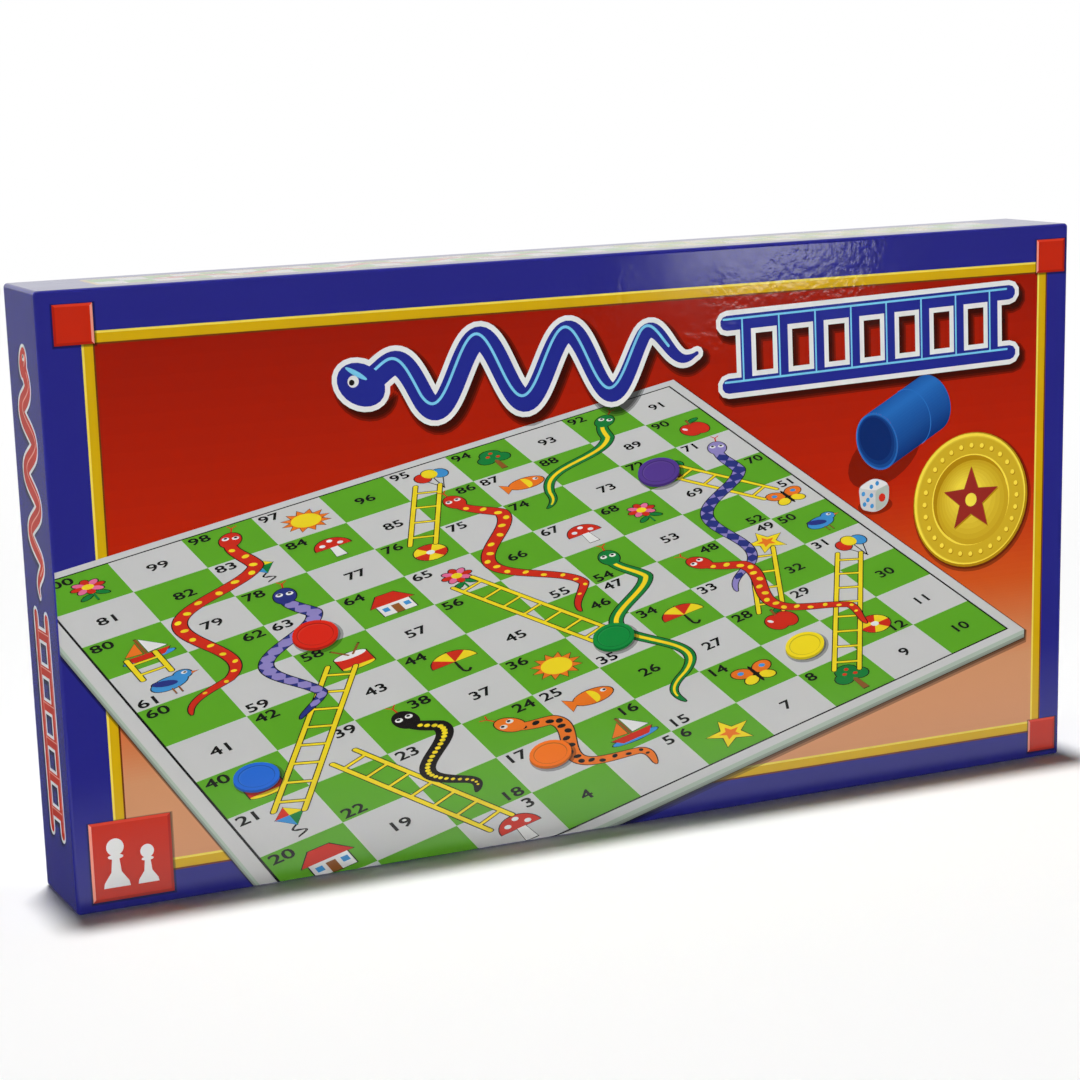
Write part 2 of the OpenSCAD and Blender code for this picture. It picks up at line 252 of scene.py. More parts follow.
class GAME_PG_sizes(bpy.types.PropertyGroup):
    """Sizes of the looks, which leave the box's own size as it is."""
    field_bands: bpy.props.IntProperty(
        name="Ground tones", description="Steps of the ground's run from dark red to tan",
        default=60, min=4, max=120)
    number_height: bpy.props.FloatProperty(
        name="Number height", description="Height of the squares' numbers, in squares",
        default=0.2, min=0.1, max=0.4)
    snake_width: bpy.props.FloatProperty(
        name="Snake width", description="Width of the board's snakes, in squares",
        default=0.2, min=0.1, max=0.3)
    ladder_width: bpy.props.FloatProperty(
        name="Ladder width", description="Width of the board's ladders, in squares",
        default=0.36, min=0.2, max=0.6)
    gloss_roughness: bpy.props.FloatProperty(
        name="Gloss roughness", description="Roughness of the laminated print",
        default=0.08, min=0.02, max=0.8, subtype="FACTOR")


def sizes():
    return bpy.context.scene.game_sizes


def ink(name):
    """A setting's colour as an item's ink: its label and its display colour."""
    return name, tuple(getattr(bpy.context.scene.game_inks, name))


def tone(first, last, share, label):
    """An ink between two settings' colours."""
    a, b = np.array(ink(first)[1]), np.array(ink(last)[1])
    return f"{label}_{round(share * 100):03d}", tuple(a + (b - a) * share)


# Outlines: each is an array of points of a closed line

def oblong(x0, y0, x1, y1):
    """The rectangle between two corners."""
    return np.array([(x0, y0), (x1, y0), (x1, y1), (x0, y1)], float)


def spun(points, turn):
    """The points turned anticlockwise about the origin."""
    c, s = math.cos(turn), math.sin(turn)
    return points @ np.array([(c, s), (-s, c)])


def lengths(vectors):
    """The vectors' lengths, as a column."""
    return np.linalg.norm(vectors, axis=1, keepdims=True)


def ellipse(x, y, rx, ry=None, turn=0.0, count=24):
    """Points at even angles on an ellipse, turned about its middle."""
    t = np.arange(count) * TURN / count
    return spun(np.column_stack([rx * np.cos(t), (rx if ry is None else ry) * np.sin(t)]), turn) + (x, y)


def round_rect(x, y, half_l, half_h, r, steps=BEND_STEPS):
    """Rectangle with round corners, anticlockwise."""
    t = np.concatenate([np.linspace(k, k + 1, steps + 1) for k in range(4)]) * TURN / 4
    sx, sy = np.repeat([1, -1, -1, 1], steps + 1), np.repeat([1, 1, -1, -1], steps + 1)
    return np.column_stack([x + sx * (half_l - r) + r * np.cos(t), y + sy * (half_h - r) + r * np.sin(t)])


def star(x, y, outer, inner, points):
    """Points at even angles from the top, whose distance changes between outer and inner."""
    t = np.arange(2 * points) * TURN / (2 * points) + TURN / 4
    r = np.where(np.arange(2 * points) % 2 == 0, outer, inner)
    return np.column_stack([x + r * np.cos(t), y + r * np.sin(t)])


def curve_through(points, steps):
    """Catmull-Rom curve: a cubic between neighbours whose tangents are half their neighbours' step."""
    p = np.asarray(points, float)
    p = np.vstack([2 * p[0] - p[1], p, 2 * p[-1] - p[-2]])
    t = np.arange(steps)[:, None] / steps
    a, b, c, d = (p[k:len(p) - 3 + k][:, None] for k in range(4))
    line = 0.5 * (2 * b + (c - a) * t + (2 * a - 5 * b + 4 * c - d) * t ** 2
                  + (3 * b - a - 3 * c + d) * t ** 3)
    return np.vstack([line.reshape(-1, 2), p[-2]])


def sideways(path):
    """Unit vectors to the left of a path."""
    step = np.gradient(path, axis=0)
    step /= lengths(step)
    return np.column_stack([-step[:, 1], step[:, 0]])


def stroke(path, width, cap=5):
    """Band of the given width along a path, with half circles of cap steps at its ends."""
    path = np.asarray(path, float)
    half = np.broadcast_to(np.asarray(width, float) / 2, len(path))[:, None]
    left = sideways(path)
    ends = []
    for end, sign in ((-1, 1), (0, -1)):
        t = np.arange(1, cap)[:, None] * math.pi / cap
        forward = np.array([left[end, 1], -left[end, 0]])
        ends.append(path[end] + half[end] * sign * (left[end] * np.cos(t) + forward * np.sin(t)))
    return np.vstack([path + left * half, ends[0], (path - left * half)[::-1], ends[1]])


def grown(outline, by):
    """The outline with each point pushed away from its middle."""
    away = outline - outline.mean(0)
    return outline + by * away / np.maximum(lengths(away), 1e-9)


def wave(start, end, swing, waves, count=96):
    """A straight run from start to end with a sine to its left, which dies down at both ends."""
    start, end = np.asarray(start, float), np.asarray(end, float)
    t = np.linspace(0, 1, count)[:, None]
    left = np.array([start[1] - end[1], end[0] - start[0]]) / np.linalg.norm(end - start)
    die = np.minimum(1, 6 * np.minimum(t, 1 - t))
    return start + (end - start) * t + left * swing * die * np.sin(TURN * (waves * t))


# Prints: a print is a list of items (ink, outlines) in the order in which they are laid down.
# An item whose ink is SHADE darkens what lies under it by one step.

SHADE = "shade"
SHADE_STEP = 0.62
MOST_SHADE = 3


def inked(*pairs):
    """An item for each pair of an ink and one outline. The ink is a setting's name, a tone or SHADE."""
    return [(ink(colour) if colour in INKS else colour, [outline]) for colour, outline in pairs]


def moved(items, place):
    """The items with every outline put through place()."""
    return [(colour, [place(o) for o in outlines]) for colour, outlines in items]


def shifted(items, x, y):
    return moved(items, lambda o: o + (x, y))


def add_object(name, data):
    """A new object of the scene with the data."""
    piece = bpy.data.objects.new(name, data)
    bpy.context.scene.collection.objects.link(piece)
    return piece


# Height and step of the digits in Blender's own font, and how far their strokes grow in heights
DIGIT_HEIGHT = 0.69
DIGIT_STEP = 0.51
DIGIT_GROW = 0.032


def digit_outlines():
    """Outlines of the ten digits of Blender's own font, one unit high. Their strokes are made
    bold: each point moves out along the normal of the chord between its neighbours."""
    made = []
    for digit in "0123456789":
        text = bpy.data.curves.new("digit", "FONT")
        text.body, text.fill_mode, text.resolution_u = digit, "NONE", 3
        piece = add_object("digit", text)
        bpy.context.view_layer.update()
        mesh = piece.evaluated_get(bpy.context.evaluated_depsgraph_get()).to_mesh()
        co = np.array([v.co[:2] for v in mesh.vertices])
        edges = np.array([e.vertices[:] for e in mesh.edges])
        closing = np.sort(edges[np.abs(edges[:, 0] - edges[:, 1]) != 1].max(axis=1))
        loops = [loop / DIGIT_HEIGHT for loop in np.split(co, closing[:-1] + 1)]
        made.append([loop - DIGIT_GROW * round_sideways(loop) for loop in loops])
        bpy.data.objects.remove(piece)
        bpy.data.curves.remove(text)
    return made


def round_sideways(loop):
    """Unit vectors to the left of a closed line, each lengthened where the line turns, so that
    its sides move out by one unit."""
    step = np.roll(loop, -1, axis=0) - loop
    step /= lengths(step)
    left = np.column_stack([-step[:, 1], step[:, 0]])
    both = left + np.roll(left, 1, axis=0)
    return both * 2 / np.maximum((both ** 2).sum(axis=1, keepdims=True), 1.0)


def number(value, x, y, height, digits):
    """A number centred on a point."""
    step, places = DIGIT_STEP / DIGIT_HEIGHT, str(value)
    loops = [o + (k * step, 0) for k, digit in enumerate(places) for o in digits[int(digit)]]
    return [(o - (len(places) * step / 2, 0.5)) * height + (x, y) for o in loops]


def ladder_bars(foot, top, width, rail, rung, gap, grow=0.0):
    """Outlines of a ladder's two rails and its evenly spaced rungs, each grown by grow."""
    foot, top = np.asarray(foot, float), np.asarray(top, float)
    length = np.linalg.norm(top - foot)
    along = (top - foot) / length
    across = np.array([-along[1], along[0]]) * width / 2
    bars = [stroke([foot + side * across, top + side * across], rail + 2 * grow)
            for side in (-1, 1)]
    count = max(int(length / gap), 2)
    for k in range(count):
        middle = foot + along * length * (k + 0.5) / count
        bars.append(stroke([middle - across, middle + across], rung + 2 * grow))
    return bars


def ladder(foot, top, width, size):
    """A yellow ladder with dark outlines. Each bar's size is a share of the ladder's width."""
    rail, rung, gap = 0.17 * width, 0.12 * width, 1.05 * width
    dark = ladder_bars(foot, top, width, rail, rung, gap, size)
    light = ladder_bars(foot, top, width, rail, rung, gap)
    return inked(*[("black", bar) for bar in dark], *[("yellow", bar) for bar in light])


def taper(count, width):
    """Width along a snake: a slim neck, a full body and a thin tail."""
    t = np.linspace(0, 1, count)
    neck, tail = 0.72 + 0.28 * np.minimum(1, t / 0.12), 0.12
    return width * neck * (tail + (1 - tail) * np.sqrt(np.maximum(1 - t ** 2.2, 0)))


def snake(path, width, body, marks, style, edge):
    """A snake from its head to its tail: tongue, outline, body, marks along the back, head and eyes.
    Their sizes are shares of its width."""
    w = taper(len(path), width)
    left = sideways(path)
    ahead = -np.array([left[0, 1], -left[0, 0]])
    head = path[0] + ahead * width * 0.35
    turn = math.atan2(ahead[1], ahead[0])
    tip = head + ahead * width * 1.75
    fork = [tip + ahead * width * 0.35 + left[0] * s * width * 0.3 for s in (-1, 1)]
    head_l, head_w = width * 1.1, width * 0.74
    items = inked(
        ("red", stroke([head, tip], width * 0.12)),
        *[("red", stroke([tip, end], width * 0.1)) for end in fork],
        ("black", stroke(path, w + 2 * edge)),
        ("black", ellipse(*head, head_l + edge, head_w + edge, turn)),
        (body, stroke(path, w)))
    spacing = {"spots": 5, "bands": 5, "stripe": 1, "chain": 3}[style]
    for k in range(5, len(path) - 6, spacing):
        if style == "bands":
            items += inked((marks, stroke(path[k:k + 3], w[k:k + 3], cap=2)))
        elif style == "spots":
            spot = path[k] + left[k] * w[k] * (0.12 * (-1) ** (k // spacing))
            items += inked((marks, ellipse(*spot, w[k] * 0.3, w[k] * 0.24, k, 10)))
        elif style == "chain":
            items += inked((marks, ellipse(*path[k], w[k] * 0.2, count=8)))
    if style == "stripe":
        items += inked((marks, stroke(path[3:-4], w[3:-4] * 0.36)))
    items += inked((body, ellipse(*head, head_l, head_w, turn)))
    for s in (-1, 1):
        eye = head + ahead * width * 0.25 + left[0] * s * width * 0.34
        items += inked(("white", ellipse(*eye, width * 0.25, count=12)),
                       ("black", ellipse(*(eye + ahead * width * 0.08), width * 0.13, count=8)))
    return items


def arc(x, y, rx, ry, start, end, count):
    """Part of an ellipse between two angles in turns, closed by its chord."""
    t = np.linspace(start, end, count) * TURN
    return np.column_stack([x + rx * np.cos(t), y + ry * np.sin(t)])


def poly(*points):
    return np.array(points, float)


def dots(name, radius, count, *places):
    """Round parts of a figure, in one ink."""
    return [(name, ellipse(x, y, radius, count=count)) for x, y in places]


def slices(x, y, rx, ry, parts, count):
    """The first slices of an ellipse that is cut in parts, yellow and red in turn."""
    edges = [arc(x, y, rx, ry, k / parts, (k + 1) / parts, 6) for k in range(count)]
    return [(("yellow", "red")[k % 2], np.vstack([[(x, y)], edge])) for k, edge in enumerate(edges)]


# Small figures in a square one unit wide, each as a list of (ink, outline)
FIGURES = (
    # Flower
    [("leaf", oblong(0.48, 0.08, 0.52, 0.6)),
     ("leaf", ellipse(0.37, 0.25, 0.13, 0.06, 0.6, 12)), ("leaf", ellipse(0.64, 0.3, 0.13, 0.06, 2.4, 12)),
     *[("pink" if k % 2 else "red", ellipse(0.5 + 0.17 * math.cos(k * TURN / 8),
       0.62 + 0.17 * math.sin(k * TURN / 8), 0.11, 0.07, k * TURN / 8, 12)) for k in range(8)],
     ("yellow", ellipse(0.5, 0.62, 0.1, count=14))],
    # Mushroom
    [("white", poly((0.4, 0.12), (0.6, 0.12), (0.57, 0.52), (0.43, 0.52))),
     ("red", arc(0.5, 0.5, 0.33, 0.36, 0, 0.5, 16)),
     *dots("white", 0.055, 10, (0.34, 0.64), (0.52, 0.76), (0.66, 0.6))],
    # Tree
    [("brown", poly((0.44, 0.08), (0.56, 0.08), (0.54, 0.5), (0.46, 0.5))),
     ("leaf", ellipse(0.5, 0.72, 0.22, count=14)), *dots("leaf", 0.17, 14, (0.34, 0.56), (0.66, 0.56)),
     *dots("red", 0.045, 8, (0.42, 0.68), (0.6, 0.6), (0.53, 0.8))],
    # Ball
    [("white", ellipse(0.5, 0.45, 0.3)), *slices(0.5, 0.45, 0.3, 0.3, 6, 6),
     ("white", ellipse(0.5, 0.45, 0.08, count=10))],
    # Boat
    [("sky", ellipse(0.5, 0.2, 0.42, 0.1)), ("brown", oblong(0.47, 0.3, 0.52, 0.9)),
     ("white", poly((0.54, 0.38), (0.86, 0.42), (0.54, 0.88))),
     ("orange", poly((0.45, 0.38), (0.18, 0.42), (0.45, 0.78))),
     ("red", poly((0.12, 0.34), (0.88, 0.34), (0.74, 0.16), (0.26, 0.16)))],
    # Kite
    [("black", stroke(curve_through([(0.5, 0.38), (0.4, 0.26), (0.55, 0.16), (0.4, 0.06)], 5), 0.02)),
     ("red", poly((0.5, 0.94), (0.28, 0.68), (0.5, 0.68))),
     ("yellow", poly((0.5, 0.94), (0.5, 0.68), (0.72, 0.68))),
     ("sky", poly((0.28, 0.68), (0.5, 0.36), (0.5, 0.68))),
     ("leaf", poly((0.5, 0.68), (0.5, 0.36), (0.72, 0.68)))],
    # Fish
    [("orange", poly((0.26, 0.5), (0.06, 0.72), (0.06, 0.3))), ("orange", ellipse(0.54, 0.5, 0.36, 0.22)),
     ("yellow", arc(0.5, 0.5, 0.14, 0.21, -0.25, 0.25, 10)),
     *dots("white", 0.055, 10, (0.76, 0.56)), *dots("black", 0.03, 8, (0.78, 0.56))],
    # Apple
    [("red", ellipse(0.4, 0.42, 0.2, 0.27)), ("red", ellipse(0.6, 0.42, 0.2, 0.27)),
     ("brown", poly((0.48, 0.64), (0.52, 0.64), (0.56, 0.86), (0.51, 0.86))),
     ("leaf", ellipse(0.66, 0.8, 0.13, 0.06, 0.3, 12)), ("white", ellipse(0.32, 0.52, 0.04, 0.07, 0.4, 8))],
    # Balloons
    [*[("black", stroke([(0.5, 0.08), end], 0.02)) for end in ((0.32, 0.51), (0.68, 0.53), (0.5, 0.61))],
     *[(name, ellipse(x, y, 0.15, 0.19, count=16)) for name, x, y in (
         ("red", 0.32, 0.66), ("sky", 0.68, 0.68), ("yellow", 0.5, 0.76))]],
    # Sun
    [("orange", star(0.5, 0.5, 0.44, 0.28, 12)), ("yellow", ellipse(0.5, 0.5, 0.27))],
    # House
    [("white", oblong(0.2, 0.12, 0.8, 0.52)),
     ("red", poly((0.1, 0.5), (0.9, 0.5), (0.66, 0.86), (0.34, 0.86))),
     ("brown", oblong(0.43, 0.12, 0.58, 0.42)),
     ("sky", oblong(0.26, 0.26, 0.37, 0.4)), ("sky", oblong(0.65, 0.26, 0.76, 0.4))],
    # Umbrella
    [("black", stroke(curve_through(
        [(0.5, 0.86), (0.5, 0.3), (0.5, 0.16), (0.56, 0.1), (0.62, 0.16)], 4), 0.035)),
     *slices(0.5, 0.5, 0.4, 0.36, 8, 4)],
    # Star
    [("yellow", star(0.5, 0.5, 0.42, 0.18, 5)), ("orange", star(0.5, 0.5, 0.2, 0.09, 5))],
    # Butterfly
    [*[(name, ellipse(*numbers, 16)) for name, *numbers in (
        ("orange", 0.3, 0.64, 0.2, 0.16, 2.5), ("orange", 0.7, 0.64, 0.2, 0.16, 0.6),
        ("yellow", 0.34, 0.36, 0.15, 0.12, 0.7), ("yellow", 0.66, 0.36, 0.15, 0.12, 2.4))],
     *dots("sky", 0.06, 10, (0.28, 0.66), (0.72, 0.66)),
     ("black", ellipse(0.5, 0.5, 0.04, 0.28, count=12))],
    # Drum
    [("red", oblong(0.22, 0.22, 0.78, 0.6)), ("yellow", ellipse(0.5, 0.22, 0.28, 0.09)),
     ("red", oblong(0.22, 0.24, 0.78, 0.42)), ("white", ellipse(0.5, 0.6, 0.28, 0.1)),
     ("brown", stroke([(0.3, 0.9), (0.48, 0.62)], 0.04)),
     ("brown", stroke([(0.76, 0.88), (0.56, 0.62)], 0.04))],
    # Bird
    [("orange", poly((0.82, 0.6), (0.96, 0.56), (0.82, 0.52))),
     ("sky", ellipse(0.46, 0.46, 0.3, 0.2, 0.2)), ("sky", ellipse(0.72, 0.6, 0.14)),
     ("navy", ellipse(0.4, 0.5, 0.2, 0.1, -0.4, 14)),
     *dots("white", 0.05, 10, (0.76, 0.64)), *dots("black", 0.026, 8, (0.77, 0.64)),
     *[("brown", stroke([(x, 0.28), (x, 0.1)], 0.025)) for x in (0.44, 0.54)]],
)
# Squares that hold a figure
FIGURE_SQUARES = (100, 3, 8, 12, 16, 21, 25, 28, 31, 36, 20, 44, 49, 51, 58, 61, 65, 67, 72, 76, 80,
                  83, 87, 90, 95, 97, 64, 34, 6, 14, 40, 50, 68, 84, 94)
# Ladders as foot and top squares
LADDERS = ((3, 39), (8, 31), (21, 58), (28, 49), (35, 65), (51, 72), (61, 80), (76, 95))
# Snakes as head square, tail square, swing in squares, waves, body, marks and style
SNAKES = (
    (98, 60, 0.42, 1.6, "red", "yellow", "spots"),
    (92, 74, 0.24, 1.1, "leaf", "yellow", "stripe"),
    (86, 46, 0.4, 1.5, "red", "yellow", "spots"),
    (71, 33, 0.3, 1.6, "lilac", "navy", "bands"),
    (78, 42, 0.34, 1.4, "navy", "lilac", "bands"),
    (54, 15, 0.36, 1.7, "leaf", "yellow", "stripe"),
    (48, 12, 0.3, 1.4, "red", "yellow", "spots"),
    (38, 18, 0.28, 1.2, "black", "yellow", "chain"),
    (24, 5, 0.3, 1.3, "orange", "black", "spots"),
)


# Where a number may stand in its square, in order: from its middle, as shares of the free room
NUMBER_SPOTS = np.array([(0, 0), (-1, 1), (1, 1), (-1, -1), (1, -1), (-1, 0), (1, 0), (0, 1), (0, -1)])
# What a number keeps clear of a square's side, and of what else is drawn
NUMBER_INSET = 0.05
NUMBER_CLEAR = 0.03
FIGURE_REACH = 0.25


def square_middle(value):
    """Middle of a numbered square: rows run to and fro from square 1."""
    row, step = divmod(value - 1, SQUARES)
    column = step if row % 2 == 0 else SQUARES - 1 - step
    return np.array([column + 0.5, row + 0.5])


def figure_items(figure, x, y, size):
    """A figure with its dark outlines laid down first."""
    shapes = [(name, outline * size + (x - size / 2, y - size / 2)) for name, outline in figure]
    return inked(*[("black", grown(o, FIGURE_EDGE * size)) for _, o in shapes], *shapes)


def board_print():
    """The playing face in squares, from the corner of square 1: chequer, numbers, figures,
    ladders and snakes."""
    digits, line = digit_outlines(), BLACK_LINE
    items = inked(("cell_white", oblong(-MARGIN, -MARGIN, SQUARES + MARGIN, SQUARES + MARGIN)),
                  ("grid_black", oblong(-line, -line, SQUARES + line, SQUARES + line)),
                  ("cell_white", oblong(0, 0, SQUARES, SQUARES)))
    for value in range(2, SQUARES ** 2 + 1, 2):
        x, y = square_middle(value)
        items += inked(("cell_green", oblong(x - 0.5, y - 0.5, x + 0.5, y + 0.5)))
    ladders = []
    for foot, top in LADDERS:
        start, end = square_middle(foot), square_middle(top)
        along = (end - start) / np.linalg.norm(end - start)
        ladders.append((start + along * LADDER_INSET, end - along * LADDER_INSET))
    paths = [wave(square_middle(head), square_middle(tail), swing, waves)
             for head, tail, swing, waves, *_ in SNAKES]
    figures = np.array([square_middle(value) for value in FIGURE_SQUARES]) + FIGURE_SHIFT
    places = number_places(ladders, paths, figures)
    for value, place in enumerate(places, 1):
        items.append((ink("grid_black"), number(value, *place, sizes().number_height, digits)))
    for k, place in enumerate(figures):
        items += figure_items(FIGURES[k % len(FIGURES)], *place, FIGURE_SIZE)
    for start, end in ladders:
        items += ladder(start, end, sizes().ladder_width, LADDER_EDGE)
    for path, (*_, body, marks, style) in zip(paths, SNAKES):
        items += snake(path, sizes().snake_width, body, marks, style, SNAKE_EDGE)
    return items


def number_places(ladders, paths, figures):
    """A place for each square's number: the first spot that keeps clear of ladders, snakes and
    figures, or else the clearest. Room is the distance from the number's box to the nearest one's
    middle line, less half its width."""
    rails = np.concatenate([np.linspace(start, end, 60) for start, end in ladders])
    heads = np.concatenate([path[0] + (path[0] - path[2]) * np.arange(1, 4)[:, None] for path in paths])
    ladder_w, snake_w = sizes().ladder_width, sizes().snake_width
    kinds = [(rails, LADDER_KEEP * ladder_w), (np.concatenate(paths), SNAKE_KEEP * snake_w),
             (heads, HEAD_KEEP * snake_w), (figures, FIGURE_REACH)]
    blocks = np.concatenate([points for points, _ in kinds])
    half = np.repeat([reach for _, reach in kinds], [len(points) for points, _ in kinds])
    height = sizes().number_height
    places = []
    for value in range(1, SQUARES ** 2 + 1):
        own = np.array([len(str(value)) * DIGIT_STEP / DIGIT_HEIGHT, 1]) * height / 2
        choices = square_middle(value) + NUMBER_SPOTS * (0.5 - NUMBER_INSET - own)
        apart = np.maximum(np.abs(choices[:, None] - blocks) - own, 0)
        room = (np.linalg.norm(apart, axis=2) - half).min(axis=1)
        clear = np.flatnonzero(room > NUMBER_CLEAR)
        places.append(choices[clear[0] if len(clear) else np.argmax(room)])
    return places


def perspective(corners):
    """The map from the board's squares to four corners: a plane seen in perspective, whose eight
    numbers come from the four corner equations."""
    rows, values = [], []
    for (i, j), (x, y) in zip(((0, 0), (SQUARES, 0), (SQUARES, SQUARES), (0, SQUARES)), corners):
        rows += [(i, j, 1, 0, 0, 0, -x * i, -x * j), (0, 0, 0, i, j, 1, -y * i, -y * j)]
        values += [x, y]
    h = np.append(np.linalg.solve(np.array(rows, float), np.array(values, float)), 1).reshape(3, 3)

    def place(points):
        q = np.column_stack([points, np.ones(len(points))]) @ h.T
        return q[:, :2] / q[:, 2:]
    return place


def finely(outline, longest):
    """The outline with its long sides split, so that they can bend."""
    ends = np.roll(outline, -1, axis=0)
    counts = np.maximum(np.ceil(np.linalg.norm(ends - outline, axis=1) / longest).astype(int), 1)
    return np.vstack([a + (b - a) * (np.arange(n) / n)[:, None]
                      for a, b, n in zip(outline, ends, counts)])


def banner(length, height, fill, highlight, outline_ink, bold=1.0):
    """A large snake and ladder side by side in one line, from (0, 0) to (length, 0), with a white
    outline, a highlight on the upper left of each stroke and a soft shadow. Bold is how heavy
    the strokes are."""
    k = height / TITLE_H
    body = 7.8 * bold * k
    path = wave((0.045 * length, 0), (0.5 * length, 0), 10.5 * k, 3.75, 150)
    w = body * np.sqrt(np.maximum(1 - np.linspace(0, 1, len(path)) ** 3.5, 0.03))
    foot, top = (0.545 * length, -1.5 * k), (length - 5 * k, 1.5 * k)
    width, rail, rung, gap = 21 * k, 5 * bold * k, 4.2 * bold * k, 13.5 * bold * k
    head = path[0] + np.array([-1.5 * k, -1 * k])

    def strokes(grow, shift=(0.0, 0.0)):
        return [o + shift for o in (
            *ladder_bars(foot, top, width, rail, rung, gap, grow),
            stroke(path, w + 2 * grow),
            ellipse(*head, 8.6 * k + grow, 6.4 * k + grow, 2.6))]
    items = [(SHADE, strokes(grow * k, (1.5 * k, -1.8 * k))) for grow in (3.0, 2.3, 1.6)]
    bars = ladder_bars(foot, top, width, rail, rung, gap)
    lit_bars = ladder_bars(foot, top, width, 0.7 * k, 0.6 * k, gap)
    return items + inked(
        *[(outline_ink, o) for o in strokes(1.7 * k)],
        *[(fill, o) for o in bars],
        *[(highlight, o + (-0.25 * rail, 0.25 * rail)) for o in lit_bars],
        (outline_ink, stroke(path, w + 2.4 * k)), (fill, stroke(path, w)),
        (highlight, stroke(path[4:-12] + (-0.14 * body, 0.2 * body), 0.9 * k)),
        (fill, ellipse(*head, 8.6 * k, 6.4 * k, 2.6)),
        (highlight, ellipse(*(head + (-1.5 * k, 3.6 * k)), 4.2 * k, 0.8 * k, 2.6 - math.pi, 14)),
        ("white", ellipse(*(head + (-2.6 * k, 1.2 * k)), 1.9 * k, count=16)),
        ("black", ellipse(*(head + (-3.1 * k, 0.9 * k)), 0.95 * k, count=12)))


def bevelled_square(x0, y0, x1, y1, bevel, bright_left):
    """A red square with a lit top, one bright side, and dark bottom and other side."""
    left, right = ("square_edge", "square_dark") if bright_left else ("square_dark", "square_edge")
    b = bevel
    return inked(
        (SHADE, oblong(x0 - 0.6, y0 - 0.8, x1 + 0.8, y1 + 0.3)),
        (SHADE, oblong(x0 - 0.3, y0 - 0.4, x1 + 0.4, y1 + 0.1)),
        ("square_light", poly((x0, y1), (x1, y1), (x1 - b, y1 - b), (x0 + b, y1 - b))),
        ("square_dark", poly((x0, y0), (x1, y0), (x1 - b, y0 + b), (x0 + b, y0 + b))),
        (left, poly((x0, y0), (x0 + b, y0 + b), (x0 + b, y1 - b), (x0, y1))),
        (right, poly((x1, y0), (x1, y1), (x1 - b, y1 - b), (x1 - b, y0 + b))),
        ("square_red", oblong(x0 + b, y0 + b, x1 - b, y1 - b)))


def pawn(x, y, height):
    """A white playing pawn: base, body, collar and head."""
    h = height
    body = poly((-0.26, 0.0), (0.26, 0.0), (0.24, 0.1), (0.1, 0.3), (0.07, 0.58),
                (-0.07, 0.58), (-0.1, 0.3), (-0.24, 0.1))
    return inked(("white", body * h + (x, y)), ("white", ellipse(x, y + 0.6 * h, 0.15 * h, 0.05 * h)),
                 ("white", ellipse(x, y + 0.79 * h, 0.17 * h)))


def frame_lines():
    """The yellow line round the picture, lit on its left and top edges, with a dark edge."""
    (x0, y0, x1, y1), width, lit, dark = FRAME_LINE, LINE_W, LINE_LIT, LINE_DARK
    shades = (oblong(x0 + width, y0, x0 + width + dark, y1), oblong(x1, y0, x1 + dark, y1),
              oblong(x0, y1 - width - dark, x1, y1 - width), oblong(x0, y0 - dark, x1, y0))
    bars = (oblong(x0, y0, x0 + width, y1), oblong(x1 - width, y0, x1, y1),
            oblong(x0, y1 - width, x1, y1), oblong(x0, y0, x1, y0 + width))
    lights = (oblong(x0, y0, x0 + lit, y1), oblong(x1 - width, y0, x1 - width + lit, y1),
              oblong(x0, y1 - lit, x1, y1), oblong(x0, y0 + width - lit, x1, y0 + width))
    return inked(*[("line_dark", o) for o in shades], *[("line_yellow", o) for o in bars],
                 *[("line_light", o) for o in lights])


def ground():
    """The picture's ground in bands from top to bottom. Its colour runs through four inks, and a
    band is as high as one step of colour takes, so that all steps are alike."""
    x0, y0, x1, y1 = GROUND
    colours = np.array([ink(f"field_{name}")[1] for name in ("top", "upper", "lower", "foot")])
    way = np.append(0, np.cumsum(np.abs(np.diff(colours, axis=0)).max(axis=1)))
    count = sizes().field_bands
    edges = y1 + (y0 - y1) * np.interp(np.linspace(0, way[-1], count + 1), way, GROUND_PLACES)
    middles = (np.arange(count) + 0.5) * way[-1] / count
    tones = np.column_stack([np.interp(middles, way, channel) for channel in colours.T])
    bands = zip(tones, edges, edges[1:])
    return inked(("field_foot", oblong(x0, y0, x1, y1)), *[
        ((f"ground_{k:02d}", tuple(colour)), oblong(x0, foot, x1, top)) for k, (colour, top, foot)
        in enumerate(bands)])


def pictured_cup(x, y, axis, radius, squeeze):
    """A cup on its side: strips of its round wall from light to dark, a ring, and its mouth."""
    turn = math.atan2(axis[1], axis[0])
    far = np.array([x, y]) + axis
    strips = 30
    edge = np.linspace(0, 0.5, strips + 1) * TURN + TURN / 4

    def rim(cx, cy, angle, size=1.0):
        p = np.column_stack([squeeze * radius * size * np.cos(angle), radius * size * np.sin(angle)])
        return spun(p, turn) + (cx, cy)

    def shaded(share, part):
        return tone("cup_light", "cup_dark", share, f"cup_{part}")
    items = inked((SHADE, ellipse(x + 3, y - 5, radius * 1.5, radius * 0.9, turn)),
                  (shaded(0.75, "far"), rim(*far, np.arange(28) * TURN / 28)))
    for k in range(strips):
        angles = -np.linspace(edge[k], edge[k + 1], 3) + math.pi
        near, back = rim(x, y, angles), rim(*far, angles)
        share = min(1, abs((k + 0.5) / strips - 0.3) * 1.5)
        items += inked((shaded(share, "side"), np.vstack([near, back[::-1]])))
    ring = np.linspace(-0.25, 0.25, 20) * TURN
    full = np.arange(36) * TURN / 36
    return items + inked(
        ("cup_light", stroke(rim(*(np.array([x, y]) + axis * 0.62), ring), 0.35)),
        ("cup_light", rim(x, y, full)),
        (shaded(0.55, "mouth"), rim(x, y, full, 0.93)),
        (shaded(0.8, "mouth"), rim(x, y, full, 0.86) - (0.3, -0.4)),
        (shaded(1.0, "mouth"), rim(x, y, full, 0.76) - (0.6, -0.9)))


